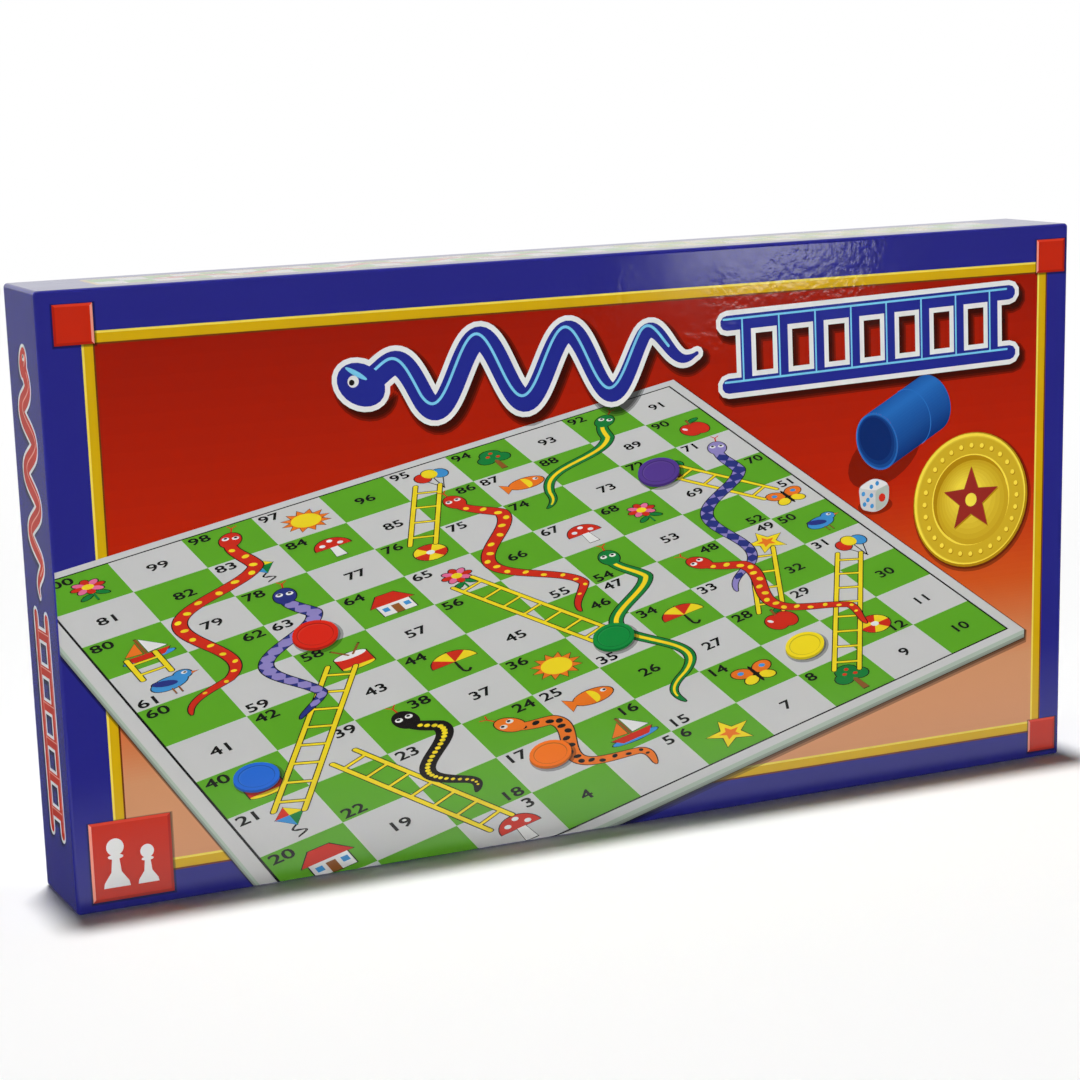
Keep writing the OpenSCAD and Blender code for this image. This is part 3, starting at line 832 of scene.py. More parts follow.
def pictured_die(x, y, size):
    """A small die seen from a corner: three faces with round corners, and their dots."""
    s = size
    front = poly((-0.5, 0.22), (0.04, 0.1), (0.06, -0.5), (-0.4, -0.36))
    side = poly((0.04, 0.1), (0.5, 0.26), (0.44, -0.3), (0.06, -0.5))
    top = poly((-0.5, 0.22), (-0.02, 0.46), (0.5, 0.26), (0.04, 0.1))
    whole = poly((-0.5, 0.24), (-0.02, 0.48), (0.5, 0.28), (0.46, -0.32), (0.06, -0.52), (-0.42, -0.38))

    def rounded(outline, reach=0.16):
        middle = (outline[-1:] + outline[:1]) / 2
        return softened(np.vstack([middle, outline, middle]), reach)[:-1] * s + (x, y)

    def dot(face, u, v, size=0.055):
        a, b, c, d = face
        p = (a * (1 - u) + b * u) * (1 - v) + (d * (1 - u) + c * u) * v
        return ellipse(x + p[0] * s, y + p[1] * s, size * s * 1.1, size * s * 1.2, count=10)
    five = ((0.25, 0.25), (0.75, 0.25), (0.5, 0.5), (0.25, 0.75), (0.75, 0.75))
    return inked(
        (SHADE, ellipse(x + 0.5, y - 0.32 * s, 0.56 * s, 0.24 * s)),
        ("cell_white", rounded(whole, 0.24)),
        (tone("cell_white", "white", 0.3, "die_front"), rounded(front)),
        (tone("cell_white", "board_edge", 0.7, "die_side"), rounded(side)), ("white", rounded(top)),
        *[("sky", dot(front, u, v)) for u, v in five], *[("sky", dot(top, u, 0.5)) for u in (0.3, 0.7)],
        ("red", dot(side, 0.5, 0.5, 0.1)))


def pictured_counter(x, y, name):
    """A round counter lying on the board: shadow, rim, top and the ring inside it."""
    rx, ry = COUNTER_L, COUNTER_H
    label, colour = ink(name)
    dark = (f"{label}_rim", tuple(np.array(colour) * 0.8))
    light = (f"{label}_top", tuple(np.array(colour) * 0.92 + 0.06))
    return inked(
        (SHADE, ellipse(x + 0.9, y - 1.1, rx + 0.9, ry + 0.8)),
        (SHADE, ellipse(x + 0.6, y - 0.9, rx + 0.2, ry + 0.2)),
        (dark, ellipse(x, y - 0.8, rx, ry)), (name, ellipse(x, y, rx, ry)),
        (dark, ellipse(x, y, rx - 1.5, ry - 0.9)), (light, ellipse(x, y - 0.1, rx - 1.8, ry - 1.15)),
        (name, ellipse(x + 0.25, y - 0.25, rx - 2.0, ry - 1.3)))


def medallion(x, y, radius):
    """A gold disc: raised rim, sunk ring in steps with beads, domed middle in steps and a star."""
    r = radius
    rings, domes, beads, bead_r = np.linspace(0, 1, 5), np.arange(8) / 7, 28, r - 4.6
    items = inked((SHADE, ellipse(x + 0.7, y - 0.9, r + 0.9, count=56)),
                  (SHADE, ellipse(x + 0.4, y - 0.5, r + 0.3, count=56)),
                  ("gold_dark", ellipse(x, y, r, count=56)),
                  ("gold_light", ellipse(x - 0.25, y + 0.3, r - 0.6, count=56)))
    for share in rings:
        items += inked((tone("gold_light", "gold_dark", 0.25 + 0.3 * share, "gold_ring"),
                        ellipse(x + 0.12 * share, y - 0.15 * share, r - 1.3 - 0.5 * share, count=56)))
    for k in range(beads):
        t = k * TURN / beads
        px, py = x + bead_r * math.cos(t), y + bead_r * math.sin(t)
        items += inked(("gold_dark", ellipse(px + 0.2, py - 0.25, 1.0, count=10)),
                       ("gold_light", ellipse(px, py, 0.85, count=10)))
    items += inked(("gold_light", ellipse(x, y, r * 0.68, count=48)),
                   ("gold_dark", ellipse(x - 0.2, y + 0.3, r * 0.65, count=48)))
    for share in domes:
        items += inked((tone("gold_dark", "gold_light", 0.35 + 0.6 * share, "gold_dome"), ellipse(
            x + 0.8 - 2.6 * share, y - 1.0 + 3.4 * share, r * (0.63 - 0.42 * share), count=40)))
    return items + inked(("gold_dark", star(x + 0.35, y - 0.45, r * 0.5, r * 0.21, 5)),
                         ("medal_red", star(x, y, r * 0.5, r * 0.21, 5)),
                         ("gold_light", ellipse(x, y, r * 0.1, count=16)))


def chequer(x0, y0, columns, rows, cell, light):
    """Squares in a light ink and green, from their lower left corner."""
    items = []
    for column in range(columns):
        for row in range(rows):
            x, y = x0 + column * cell, y0 + row * cell
            name = "cell_green" if (column + row) % 2 else light
            items += inked((name, oblong(x, y, x + cell, y + cell)))
    return items


def lid_front_print():
    """The lid's face on the artboard, from its lower left corner, on blue that runs past its edges."""
    items = inked(("border_blue", oblong(-ART_H, -ART_H, ART_W + ART_H, 2 * ART_H)))
    items += ground() + frame_lines()
    place = perspective(BOARD_CORNERS)
    edge = place(oblong(-MARGIN, -MARGIN, SQUARES + MARGIN, SQUARES + MARGIN))
    thick = PICTURED_T
    for beyond in PICTURED_SHADES:
        items += inked((SHADE, np.vstack([
            edge[:2] + (beyond / 2, -thick - beyond), edge[1:3] + (0.5 + beyond / 3, -0.4),
            edge[3:] - (0, thick + beyond)])))
    items += inked(("board_edge", np.vstack([edge[:2] - (0, thick), edge[1:], edge[3:] - (0, thick)])))
    for share in PICTURED_FOOTS:
        items += inked((tone("board_edge", "black", 0.35 * share, "board_edge_foot"), np.vstack([
            edge[3:] - (0, thick * share), edge[:2] - (0, thick * share),
            edge[1::-1] - (0, thick), edge[3:] - (0, thick)])))
    items += moved(board_print(), lambda o: place(finely(o, PICTURED_SIDE)))
    for name, x, y in COUNTERS_AT:
        items += pictured_counter(x, y, f"counter_{name}")
    items += shifted(banner(TITLE_L, TITLE_H, "title_blue", "title_cyan", "white"), TITLE_X, TITLE_Y)
    items += medallion(*DISC) + pictured_cup(*PICTURED_CUP) + pictured_die(*PICTURED_DIE)
    for square in RED_SQUARES:
        items += bevelled_square(*square)
    for foot in PAWNS:
        items += pawn(*foot)
    return items


def side_strip(length):
    """A long side's picture about its middle: a chequer strip with a snake and a ladder."""
    cell, edge = STRIP_CELL, STRIP_BORDER
    columns, rows = int(length * STRIP_SHARE / cell), 2
    x0, y0 = -columns * cell / 2, -rows * cell / 2
    items = inked(("line_yellow", oblong(x0 - edge, y0 - edge, edge - x0, edge - y0)))
    items += chequer(x0, y0, columns, rows, cell, "cell_white")
    items += ladder((0.05 * length, 0), (0.38 * length, 0), STRIP_LADDER, STRIP_EDGE)
    path = wave((-0.37 * length, 0), (-0.01 * length, 0), 4.2, 4.5, 130)
    return items + snake(path, STRIP_SNAKE, "red", "yellow", "spots", STRIP_EDGE)


# Flat maps: a sheet cut along every outline of its print

def inside(points, outlines):
    """Which points the outlines enclose: every edge that passes a point's level to its right
    counts one way up or the other way down, and the sum isn't zero."""
    start = np.concatenate(outlines)
    end = np.concatenate([np.roll(o, -1, axis=0) for o in outlines])
    found = np.zeros(len(points), bool)
    near = np.flatnonzero(np.all((points > start.min(0)) & (points < start.max(0)), axis=1))
    most = max(1, 4_000_000 // len(start))
    for group in np.array_split(near, max(1, math.ceil(len(near) / most))):
        x, y = points[group, 0:1], points[group, 1:2]
        up = (start[:, 1] <= y) & (end[:, 1] > y)
        down = (start[:, 1] > y) & (end[:, 1] <= y)
        rise = np.where(end[:, 1] == start[:, 1], 1, end[:, 1] - start[:, 1])
        across = start[:, 0] + (y - start[:, 1]) * (end[:, 0] - start[:, 0]) / rise
        right = across > x
        found[group] = ((up & right).sum(1) - (down & right).sum(1)) != 0
    return found


def joined_up(co, tris):
    """Splits the triangle at each open side on which ends of other open sides lie, so that both
    meet point to point, for as long as that leaves fewer open sides."""
    near, rounds = 1e-3, 4

    def open_sides(tris):
        sides = np.stack([tris, np.roll(tris, -1, axis=1)], -1).reshape(-1, 2)
        return sides, np.flatnonzero(~np.isin(sides @ (1, len(co)), sides @ (len(co), 1)))

    sides, loose = open_sides(tris)
    for _ in range(rounds):
        ends = np.unique(sides[loose])
        split, made = set(), []
        for k in loose:
            a, b = sides[k]
            line, away = co[b] - co[a], co[ends] - co[a]
            t = away @ line / (line @ line)
            off = np.abs(away[:, 0] * line[1] - away[:, 1] * line[0]) / np.linalg.norm(line)
            on = (t > 0) & (t < 1) & (off < near) & (ends != a) & (ends != b)
            if on.any() and k // 3 not in split:
                split.add(k // 3)
                chain = [a, *ends[on][np.argsort(t[on])], b]
                made += [(p, q, tris[k // 3].sum() - a - b) for p, q in zip(chain, chain[1:])]
        if not made:
            break
        joined = np.vstack([np.delete(tris, list(split), axis=0), made])
        after = open_sides(joined)
        if len(after[1]) >= len(loose):
            break
        tris, (sides, loose) = joined, after
    return tris


def cut(outlines, smallest=1e-6):
    """Delaunay triangles that keep every side of the outlines. Each is turned anticlockwise, those
    of less than the smallest area are dropped, and the others are joined up where they were."""
    counts = np.array([len(o) for o in outlines])
    last = np.cumsum(counts) - 1
    after = np.arange(1, counts.sum() + 1)
    after[last] = last - counts + 1
    edges = np.column_stack([np.arange(len(after)), after])
    points = [Vector(p) for p in np.concatenate(outlines)]
    made = delaunay_2d_cdt(points, edges.tolist(), [], 0, 1e-4, False)
    co, tris = np.array([tuple(p) for p in made[0]]), np.array(made[2], int)
    u, v = co[tris[:, 1]] - co[tris[:, 0]], co[tris[:, 2]] - co[tris[:, 0]]
    area = (u[:, 0] * v[:, 1] - u[:, 1] * v[:, 0]) / 2
    tris = np.where((area < 0)[:, None], tris[:, ::-1], tris)[np.abs(area) > smallest]
    return co, joined_up(co, tris)


def cut_sheet(items, patches):
    """Triangles of a sheet that is made of rectangular patches, cut along every outline. Returns
    its points, its triangles and each triangle's ink and shade: that of the last item over it."""
    patches = np.array(patches)
    co, tris = cut([oblong(*patch) for patch in patches] + [o for _, group in items for o in group])
    middles = co[tris].mean(axis=1)
    held = np.zeros(len(tris), bool)
    for patch in patches:
        held |= np.all((middles > patch[:2]) & (middles < patch[2:]), axis=1)
    tris, middles = tris[held], middles[held]
    inks, order, shade = {}, np.full(len(tris), -1), np.zeros(len(tris), int)
    for colour, group in items:
        covered = inside(middles, group)
        if colour == SHADE:
            shade[covered] = np.minimum(shade[covered] + 1, MOST_SHADE)
        else:
            order[covered] = inks.setdefault(colour, len(inks))
            shade[covered] = 0
    if (order < 0).any():
        raise ValueError("part of a sheet has no ink")
    return co, tris, order, shade, list(inks)


# Meshes

def together(parts):
    """The points and faces of several shapes as those of one."""
    firsts = np.cumsum([0] + [len(co) for co, _ in parts])
    return (np.concatenate([co for co, _ in parts]),
            np.concatenate([faces + first for (_, faces), first in zip(parts, firsts)]))


def add_mesh(name, co, *face_sets):
    """A mesh in metres from points in millimetres and arrays of faces, less the points that no
    face uses."""
    corners = np.concatenate([np.ravel(f) for f in face_sets])
    counts = np.concatenate([np.full(len(f), f.shape[1]) for f in face_sets])
    used, corners = np.unique(corners, return_inverse=True)
    mesh = bpy.data.meshes.new(name)
    mesh.vertices.add(len(used))
    mesh.vertices.foreach_set("co", (co[used] * MM).astype(np.float32).ravel())
    mesh.loops.add(len(corners))
    mesh.loops.foreach_set("vertex_index", corners.astype(np.int32))
    mesh.polygons.add(len(counts))
    mesh.polygons.foreach_set("loop_start", (np.cumsum(counts) - counts).astype(np.int32))
    mesh.update(calc_edges=True)
    return mesh


def merge(mesh, outward=False, distance=0.004):
    """Merges the points that lie closer than the distance, in millimetres, fills the smallest
    gaps and turns a closed shape's faces outwards."""
    bm = bmesh.new()
    bm.from_mesh(mesh)
    bmesh.ops.remove_doubles(bm, verts=bm.verts, dist=distance * MM)
    bmesh.ops.dissolve_degenerate(bm, edges=bm.edges, dist=distance * MM / 4)
    bmesh.ops.holes_fill(bm, edges=bm.edges, sides=8)
    if outward:
        bmesh.ops.recalc_face_normals(bm, faces=bm.faces)
    bm.to_mesh(mesh)
    bm.free()
    mesh.update()


def smooth(mesh, angle=40.0):
    """Smooth shading, with edges above the angle kept sharp."""
    mesh.polygons.foreach_set("use_smooth", np.ones(len(mesh.polygons), bool))
    mesh.set_sharp_from_angle(angle=math.radians(angle))


def add_piece(mesh, body, nodes=(), finish=None):
    """A mesh's object at the origin, which rides on a body and stands for the nodes."""
    if finish:
        mesh.materials.append(finish)
    piece = add_object(mesh.name, mesh)
    if body:
        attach(piece, body)
    if nodes:
        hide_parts(*nodes)
    return piece


def closed_piece(mesh, body, nodes, finish, angle=40.0):
    """A closed, smooth piece of one material."""
    merge(mesh, outward=True)
    smooth(mesh, angle)
    return add_piece(mesh, body, nodes, finish)


def paint(mesh, order, shade, inks, plain, finish):
    """Gives the mesh one material for each ink and shade, and each face its own. The faces after
    the printed ones take the plain ink."""
    key = np.full(len(mesh.polygons), len(inks) * (MOST_SHADE + 1))
    key[:len(order)] = order * (MOST_SHADE + 1) + shade
    inks = [*inks, plain]
    kinds, index = np.unique(key, return_inverse=True)
    for kind in kinds:
        (label, colour), step = inks[kind // (MOST_SHADE + 1)], int(kind % (MOST_SHADE + 1))
        name = f"{label}_shade_{step}" if step else label
        mesh.materials.append(finish(name, tuple(c * SHADE_STEP ** (step * 0.7) for c in colour)))
    mesh.polygons.foreach_set("material_index", index.astype(np.int32))
    mesh.update()


def around_band(rings):
    """Quads between rings of equally many points, each ring joined to the next."""
    n, count = len(rings[0]), len(rings)
    index = np.arange(n * count).reshape(count, n)
    after = np.roll(index, -1, axis=1)
    return np.stack([index[:-1], index[1:], after[1:], after[:-1]], -1).reshape(-1, 4)


def softened(line, reach, steps=4):
    """A line whose corners are cut back by the reach on both sides, or by 0.45 of the shorter
    side, and bridged by a parabola that leaves along one side and arrives along the other."""
    line = np.asarray(line, float)
    back, ahead = line[:-2] - line[1:-1], line[2:] - line[1:-1]
    shorter = np.minimum(np.linalg.norm(back, axis=1), np.linalg.norm(ahead, axis=1))
    room = np.minimum(np.broadcast_to(reach, len(shorter)), 0.45 * shorter)[:, None]
    a = line[1:-1] + room * back / lengths(back)
    b = line[1:-1] + room * ahead / lengths(ahead)
    t = np.linspace(0, 1, steps + 1)[:, None]
    arcs = a[:, None] * (1 - t) ** 2 + 2 * line[1:-1, None] * t * (1 - t) + b[:, None] * t ** 2
    return np.vstack([line[:1], arcs.reshape(-1, 2), line[-1:]])


def lathe(profile, centre, axis, count):
    """Points and quads of a profile of (radius, distance) carried round an axis at even angles:
    its places are centre + axis * distance + radius * (cos, sin) across the axis."""
    t = np.arange(count) * TURN / count
    axis = np.asarray(axis, float)
    side = np.roll(axis, 1)
    other = np.cross(axis, side)
    spokes = np.cos(t)[:, None] * side + np.sin(t)[:, None] * other
    co = centre + profile[:, 1, None, None] * axis + profile[:, 0, None, None] * spokes
    return co.reshape(-1, 3), around_band(list(co))


def band(path, thickness, low, high):
    """Points and quads of a strip: the path set off to both sides by half the thickness, drawn
    out from low to high along a third axis, and closed at its ends."""
    left = sideways(path) * thickness / 2
    loop = np.vstack([path + left, (path - left)[::-1]])
    n, half = len(loop), len(path)
    co = np.vstack([np.column_stack([loop, np.full(n, end)]) for end in (low, high)])
    k = np.arange(half - 1)
    caps = np.column_stack([k, k + 1, n - 2 - k, n - 1 - k])
    return co, np.vstack([around_band([loop, loop]), caps, caps[:, ::-1] + n])


def sheet(name, low, high, items, side, finish, edge_ink):
    """A thin flat solid between two corners, whose printed face looks along side * Y and is cut
    along its print. Its edges join the printed face's rim to one plain face behind."""
    x0, x1, z0, z1 = low[0], high[0], low[2], high[2]
    items = [(colour, group) for colour, group in items if all(
        o[:, 0].max() > x0 and o[:, 0].min() < x1 and o[:, 1].max() > z0 and o[:, 1].min() < z1
        for o in (np.concatenate(group),))]
    co, tris, order, shade, inks = cut_sheet(items, [(x0, z0, x1, z1)])
    used = np.unique(tris)
    x, z = co[used].T
    near, l, h = 1e-3, x1 - x0, z1 - z0
    along = np.select(
        [np.abs(z - z0) < near, np.abs(x - x1) < near, np.abs(z - z1) < near, np.abs(x - x0) < near],
        [x - x0, l + z - z0, l + h + x1 - x, 2 * l + h + z1 - z], -1.0)
    rim = used[along > -near][np.argsort(along[along > -near])]
    printed, plain = (high[1], low[1]) if side > 0 else (low[1], high[1])
    points = np.vstack([np.insert(co, 1, printed, axis=1), np.insert(co[rim], 1, plain, axis=1)])
    behind = np.arange(len(rim)) + len(co)
    edges = np.column_stack([rim, behind, np.roll(behind, -1), np.roll(rim, -1)])
    back = behind[None, ::-1]
    if side > 0:
        tris, edges, back = tris[:, ::-1], edges[:, ::-1], back[:, ::-1]
    mesh = add_mesh(name, points, tris, edges, back)
    paint(mesh, order, shade, inks, edge_ink, finish)
    merge(mesh)
    return mesh


# Box wraps: the flat net of an open box, folded

def fold(net, a, b, r):
    """Folds a net round an open box whose closed face is flat within a by b: past the flat part
    the paper turns a quarter circle of radius r and runs straight to the rim, and past a side's
    end it turns about the upright corner. Returns x, depth and height."""
    over = np.maximum(np.abs(net) - (a, b), 0)
    rows = np.arange(len(net))
    arm = np.argmax(over, axis=1)
    out, beside = over[rows, arm], over[rows, 1 - arm]
    turn, corner = np.minimum(out / r, TURN / 4), beside / r
    flat = np.clip(np.abs(net), 0, (a, b))
    flat[rows, arm] += r * np.sin(turn) * np.cos(corner)
    flat[rows, 1 - arm] += r * np.sin(turn) * np.sin(corner)
    depth = r * (1 - np.cos(turn)) + np.maximum(out - r * TURN / 4, 0)
    flat *= np.where(net < 0, -1, 1)
    return np.column_stack([flat[:, 0], depth, flat[:, 1]])


def net_patches(a, b, r, straight):
    """Rectangles of the net: the face, each bend's strips, and each side with half of the upright
    corners at its ends."""
    arc = r * TURN / 4
    bends = np.linspace(0, arc, BEND_STEPS + 1)
    ends = np.linspace(0, arc / 2, BEND_STEPS // 2 + 1)
    patches = [(-a, -b, a, b)]
    for half, beside, swap in ((a, b, False), (b, a, True)):
        strips = [(half + p, -beside, half + q, beside) for p, q in zip(bends, bends[1:])]
        strips.append((half + arc, -beside, half + arc + straight, beside))
        for p, q in zip(ends, ends[1:]):
            strips += [(half + arc, beside + p, half + arc + straight, beside + q),
                       (half + arc, -beside - q, half + arc + straight, -beside - p)]
        for x0, y0, x1, y1 in strips:
            for s in (1, -1):
                low, high = sorted((s * x0, s * x1))
                patches.append((y0, low, y1, high) if swap else (low, y0, high, y1))
    return patches


def corner_caps(a, b, r):
    """The four corners of the closed face, each an eighth of a sphere."""
    turn, around = np.meshgrid(*[np.linspace(0, TURN / 4, BEND_STEPS + 1)] * 2, indexing="ij")
    n = BEND_STEPS + 1
    index = np.arange(n * n).reshape(n, n)
    quads = np.stack([index[:-1, :-1], index[1:, :-1], index[1:, 1:], index[:-1, 1:]], -1).reshape(-1, 4)
    caps = []
    for sx, sz in ((1, 1), (-1, 1), (-1, -1), (1, -1)):
        x = sx * (a + r * np.sin(turn) * np.cos(around))
        z = sz * (b + r * np.sin(turn) * np.sin(around))
        co = np.stack([x, r * (1 - np.cos(turn)), z], -1).reshape(-1, 3)
        caps.append((co, quads if sx * sz > 0 else quads[:, ::-1]))
    return together(caps)


def ring(l, h, r, depth):
    """Points round an l by h rectangle with round corners, at one depth."""
    return np.insert(round_rect(0, 0, l / 2, h / 2, r), 1, depth, axis=1)


def rim_rings(l, h, depth, r):
    """The paper from the end of the outside over the round rim, down its turned-in band, and back
    along the chipboard to the closed face, as rings."""
    turns = np.linspace(0, TURN / 4, RIM_STEPS + 1)
    inner = WALL + PAPER_T
    steps = [(RIM_R * (1 - math.cos(t)), depth - RIM_R * (1 - math.sin(t))) for t in turns]
    steps += [(inner - RIM_R * (1 - math.sin(t)), depth - RIM_R * (1 - math.cos(t))) for t in turns]
    steps += [(inner, depth - TURN_IN), (WALL, depth - TURN_IN), (WALL, depth - PAPER_T),
              (PAPER_T, depth - PAPER_T), (PAPER_T, r)]
    rings = [ring(l - 2 * inset, h - 2 * inset, max(r - inset, 0.15), y) for inset, y in steps]
    inside_r = r - PAPER_T
    for t in turns[1:]:
        inset = PAPER_T + inside_r * (1 - math.cos(t))
        rings.append(ring(l - 2 * inset, h - 2 * inset, max(r - inset, 1e-3), r - inside_r * math.sin(t)))
    return rings


def wrapped_box(name, low, high, items, towards, finish, rim_ink):
    """The paper of an open box between two corners: printed outside, rim, turned-in band and back.
    towards is 1 where the box opens to +Y and -1 where it opens to -Y."""
    l, depth, h = high - low
    r = EDGE_R
    a, b = l / 2 - r, h / 2 - r
    co, tris, order, shade, inks = cut_sheet(items, net_patches(a, b, r, depth - r - RIM_R))
    outside = fold(co, a, b, r)
    caps, cap_faces = corner_caps(a, b, r)
    rings = rim_rings(l, h, depth, r)
    points = np.concatenate([outside, caps, *rings, [[0.0, PAPER_T, 0.0]]])
    first_cap, first_ring = len(outside), len(outside) + len(caps)
    last = np.arange(len(rings[0])) + len(points) - 1 - len(rings[0])
    fan = np.column_stack([np.full(len(last), len(points) - 1), np.roll(last, -1), last])
    quads = np.concatenate([cap_faces + first_cap, around_band(rings) + first_ring])
    centre = np.array([(low[0] + high[0]) / 2, low[1] if towards > 0 else high[1], (low[2] + high[2]) / 2])
    mesh = add_mesh(name, points * (towards, towards, 1) + centre, tris, fan, quads)
    paint(mesh, order, shade, inks, rim_ink, finish)
    merge(mesh)
    smooth(mesh)
    round_normals(mesh, centre * MM, np.array([a, b, r]) * MM, depth * MM, towards)
    return mesh


def round_normals(mesh, centre, core, depth, towards):
    """Sets the corner normals of the faces that look outwards: each is the direction to the corner
    from the nearest point of the core, the box that lies inside the rounding."""
    a, b, r = core
    normals = np.empty(len(mesh.loops) * 3, np.float32)
    mesh.corner_normals.foreach_get("vector", normals)
    normals = normals.reshape(-1, 3)
    index = np.empty(len(mesh.loops), np.int32)
    mesh.loops.foreach_get("vertex_index", index)
    co = np.empty(len(mesh.vertices) * 3, np.float32)
    mesh.vertices.foreach_get("co", co)
    local = (co.reshape(-1, 3)[index].astype(float) - centre) * (towards, towards, 1)
    away = local - np.clip(local, (-a, r, -b), (a, depth, b))
    reach = np.linalg.norm(away, axis=1)
    away /= np.maximum(reach, 1e-9)[:, None]
    away *= (towards, towards, 1)
    faces = np.empty(len(mesh.polygons) * 3, np.float32)
    mesh.polygons.foreach_get("normal", faces)
    totals = np.empty(len(mesh.polygons), np.int32)
    mesh.polygons.foreach_get("loop_total", totals)
    flat = np.repeat(faces.reshape(-1, 3), totals, axis=0)
    outer = (np.einsum("ij,ij->i", flat, away) > 0.93) & (np.abs(reach - r) < 0.05 * r)
    outer &= local[:, 1] < depth - RIM_R * MM * 0.99
    normals[outer] = away[outer]
    mesh.normals_split_custom_set(normals.tolist())


# Sunk shapes: a sheet whose depth follows the distance to round-cornered rooms

def reach_inside(points, room):
    """How far each point lies inside a room, negative outside it: the room's corner radius, less
    the distance from the rectangle that its corners are rounded about."""
    x, y, half_l, half_h, r = room
    q = np.abs(points - (x, y)) - (half_l - r, half_h - r)
    return r - np.linalg.norm(np.maximum(q, 0), axis=1) - np.minimum(q.max(axis=1), 0)


def sunk(reach, depth, lip, foot):
    """Depth at a reach inside a room: a quarter round of radius lip before its edge, a wall that
    falls within the slope, and a quarter round of radius foot at its floor."""
    over, under = np.clip(reach + lip, 0, lip), np.clip(reach - WALL_SLOPE, 0, foot)
    top = lip - np.sqrt(np.maximum(lip ** 2 - over ** 2, 0))
    floor = depth - foot + np.sqrt(np.maximum(foot ** 2 - (foot - under) ** 2, 0))
    wall = lip + (depth - foot - lip) * reach / WALL_SLOPE
    return np.where(reach <= 0, top, np.where(reach < WALL_SLOPE, wall, floor))


def sunk_outlines(room, lip, foot, steps):
    """Outlines of a room at every reach where its depth turns."""
    x, y, half_l, half_h, r = room
    turns = np.sin(np.linspace(0, TURN / 4, 5))
    reaches = np.concatenate([lip * (turns - 1), WALL_SLOPE + foot * (1 - turns[::-1])])
    return [round_rect(x, y, half_l - s, half_h - s, max(r - s, 0.02), steps) for s in reaches]


# Finishes

class Number:
    """A socket that holds a number, so that sums on it are written as Python sums."""

    def __init__(self, tree, socket):
        self.tree, self.socket = tree, socket

    def sum(self, operation, *values):
        settings, values = {"operation": operation}, dict(enumerate(values))
        return Number(self.tree, self.tree.node("ShaderNodeMath", settings, values))

    def __add__(self, other):
        return self.sum("ADD", self, other)

    def __rsub__(self, other):
        return self.sum("SUBTRACT", other, self)

    def __mul__(self, other):
        return self.sum("MULTIPLY", self, other)

    __radd__, __rmul__ = __add__, __mul__


class Nodes:
    """Adds nodes to a tree."""

    def __init__(self, tree):
        self.nodes, self.links = tree.nodes, tree.links

    def set(self, node, values):
        """Sets or links a node's sockets, by name or by number."""
        for key, value in values.items():
            value = getattr(value, "socket", value)
            if isinstance(value, bpy.types.NodeSocket):
                self.links.new(value, node.inputs[key])
            else:
                node.inputs[key].default_value = value

    def node(self, kind, settings=None, values=None, output=0):
        """Adds a node, with its settings before its sockets, and returns one of its outputs."""
        made = self.nodes.new(kind)
        for key, value in (settings or {}).items():
            setattr(made, key, value)
        self.set(made, values or {})
        return made.outputs[output]

    def place(self, scale=(1, 1, 1)):
        """Object coordinates, in metres, scaled."""
        where = self.node("ShaderNodeTexCoord", output="Object")
        return self.node("ShaderNodeMapping", {}, {"Vector": where, "Scale": scale})

    def noise(self, scale, detail, where=None, rough=0.5):
        return Number(self, self.node("ShaderNodeTexNoise", {}, {
            "Vector": where or self.place(), "Scale": scale, "Detail": detail, "Roughness": rough}))

    def span(self, value, low, high, first=0.0, last=1.0, kind="LINEAR"):
        """Brings a number from low to high to first to last."""
        made = self.node("ShaderNodeMapRange", {"interpolation_type": kind}, {
            "Value": value, "From Min": low, "From Max": high, "To Min": first, "To Max": last})
        return Number(self, made)


class Finish(Nodes):
    """A material with one Principled shader. What is the same all over is set on its sockets."""

    def __init__(self, name, colour, **sockets):
        self.material = bpy.data.materials.new(name)
        self.material.use_nodes = True
        super().__init__(self.material.node_tree)
        self.shader = self.nodes["Principled BSDF"]
        named = {key.replace("_", " ").title().replace("Ior", "IOR"): value for key, value in sockets.items()}
        self.set(self.shader, {"Base Color": (*linear(colour), 1), **named})

    def done(self, roughness, height, distance, strength):
        """Links the roughness and a relief, whose height is in metres times distance."""
        relief = self.node("ShaderNodeBump", {}, {
            "Strength": strength, "Distance": distance, "Height": height})
        self.set(self.shader, {"Roughness": roughness, "Normal": relief})
        return self.material

    def mix(self, share, first, last):
        """Colours the surface between two display colours."""
        self.set(self.shader, {"Base Color": self.node("ShaderNodeMix", {"data_type": "RGBA"}, {
            0: share, 6: (*linear(first), 1), 7: (*linear(last), 1)}, 2)})


def once(make):
    """Keeps a finish by its name, so that pieces share it."""
    def kept(name, *values):
        return bpy.data.materials.get(name) or make(name, *values)
    return kept


@once
def gloss_print(name, colour):
    """Ink under a gloss film: an even colour, a slightly uneven film, and low waves where the
    paper is glued down."""
    finish = Finish(name, colour, ior=1.5)
    film = finish.noise(260, 2)
    crumple = finish.noise(420, 2) * finish.span(finish.noise(38, 1), 0.44, 0.6)
    return finish.done(sizes().gloss_roughness - 0.03 + film * 0.06,
                       finish.noise(22, 1) * 0.6 + film * 0.03 + crumple * 0.18, 0.0012, 0.25)


@once
def satin_print(name, colour):
    """Ink under a satin film with a fine linen grain."""
    finish = Finish(name, colour, ior=1.48)
    grain = finish.noise(900, 1)
    return finish.done(0.36 + finish.noise(60, 2) * 0.1, grain * 0.3 + finish.noise(16, 1), 0.0004, 0.2)


@once
def matt_paper(name, colour):
    """Uncoated paper: long soft fibres in its relief and its gloss."""
    finish = Finish(name, colour, specular_ior_level=0.35)
    fibre = finish.noise(420, 4, finish.place((1, 1, 0.35)), 0.65)
    return finish.done(0.62 + fibre * 0.25, fibre + finish.noise(30, 1) * 2.0, 0.0002, 0.5)


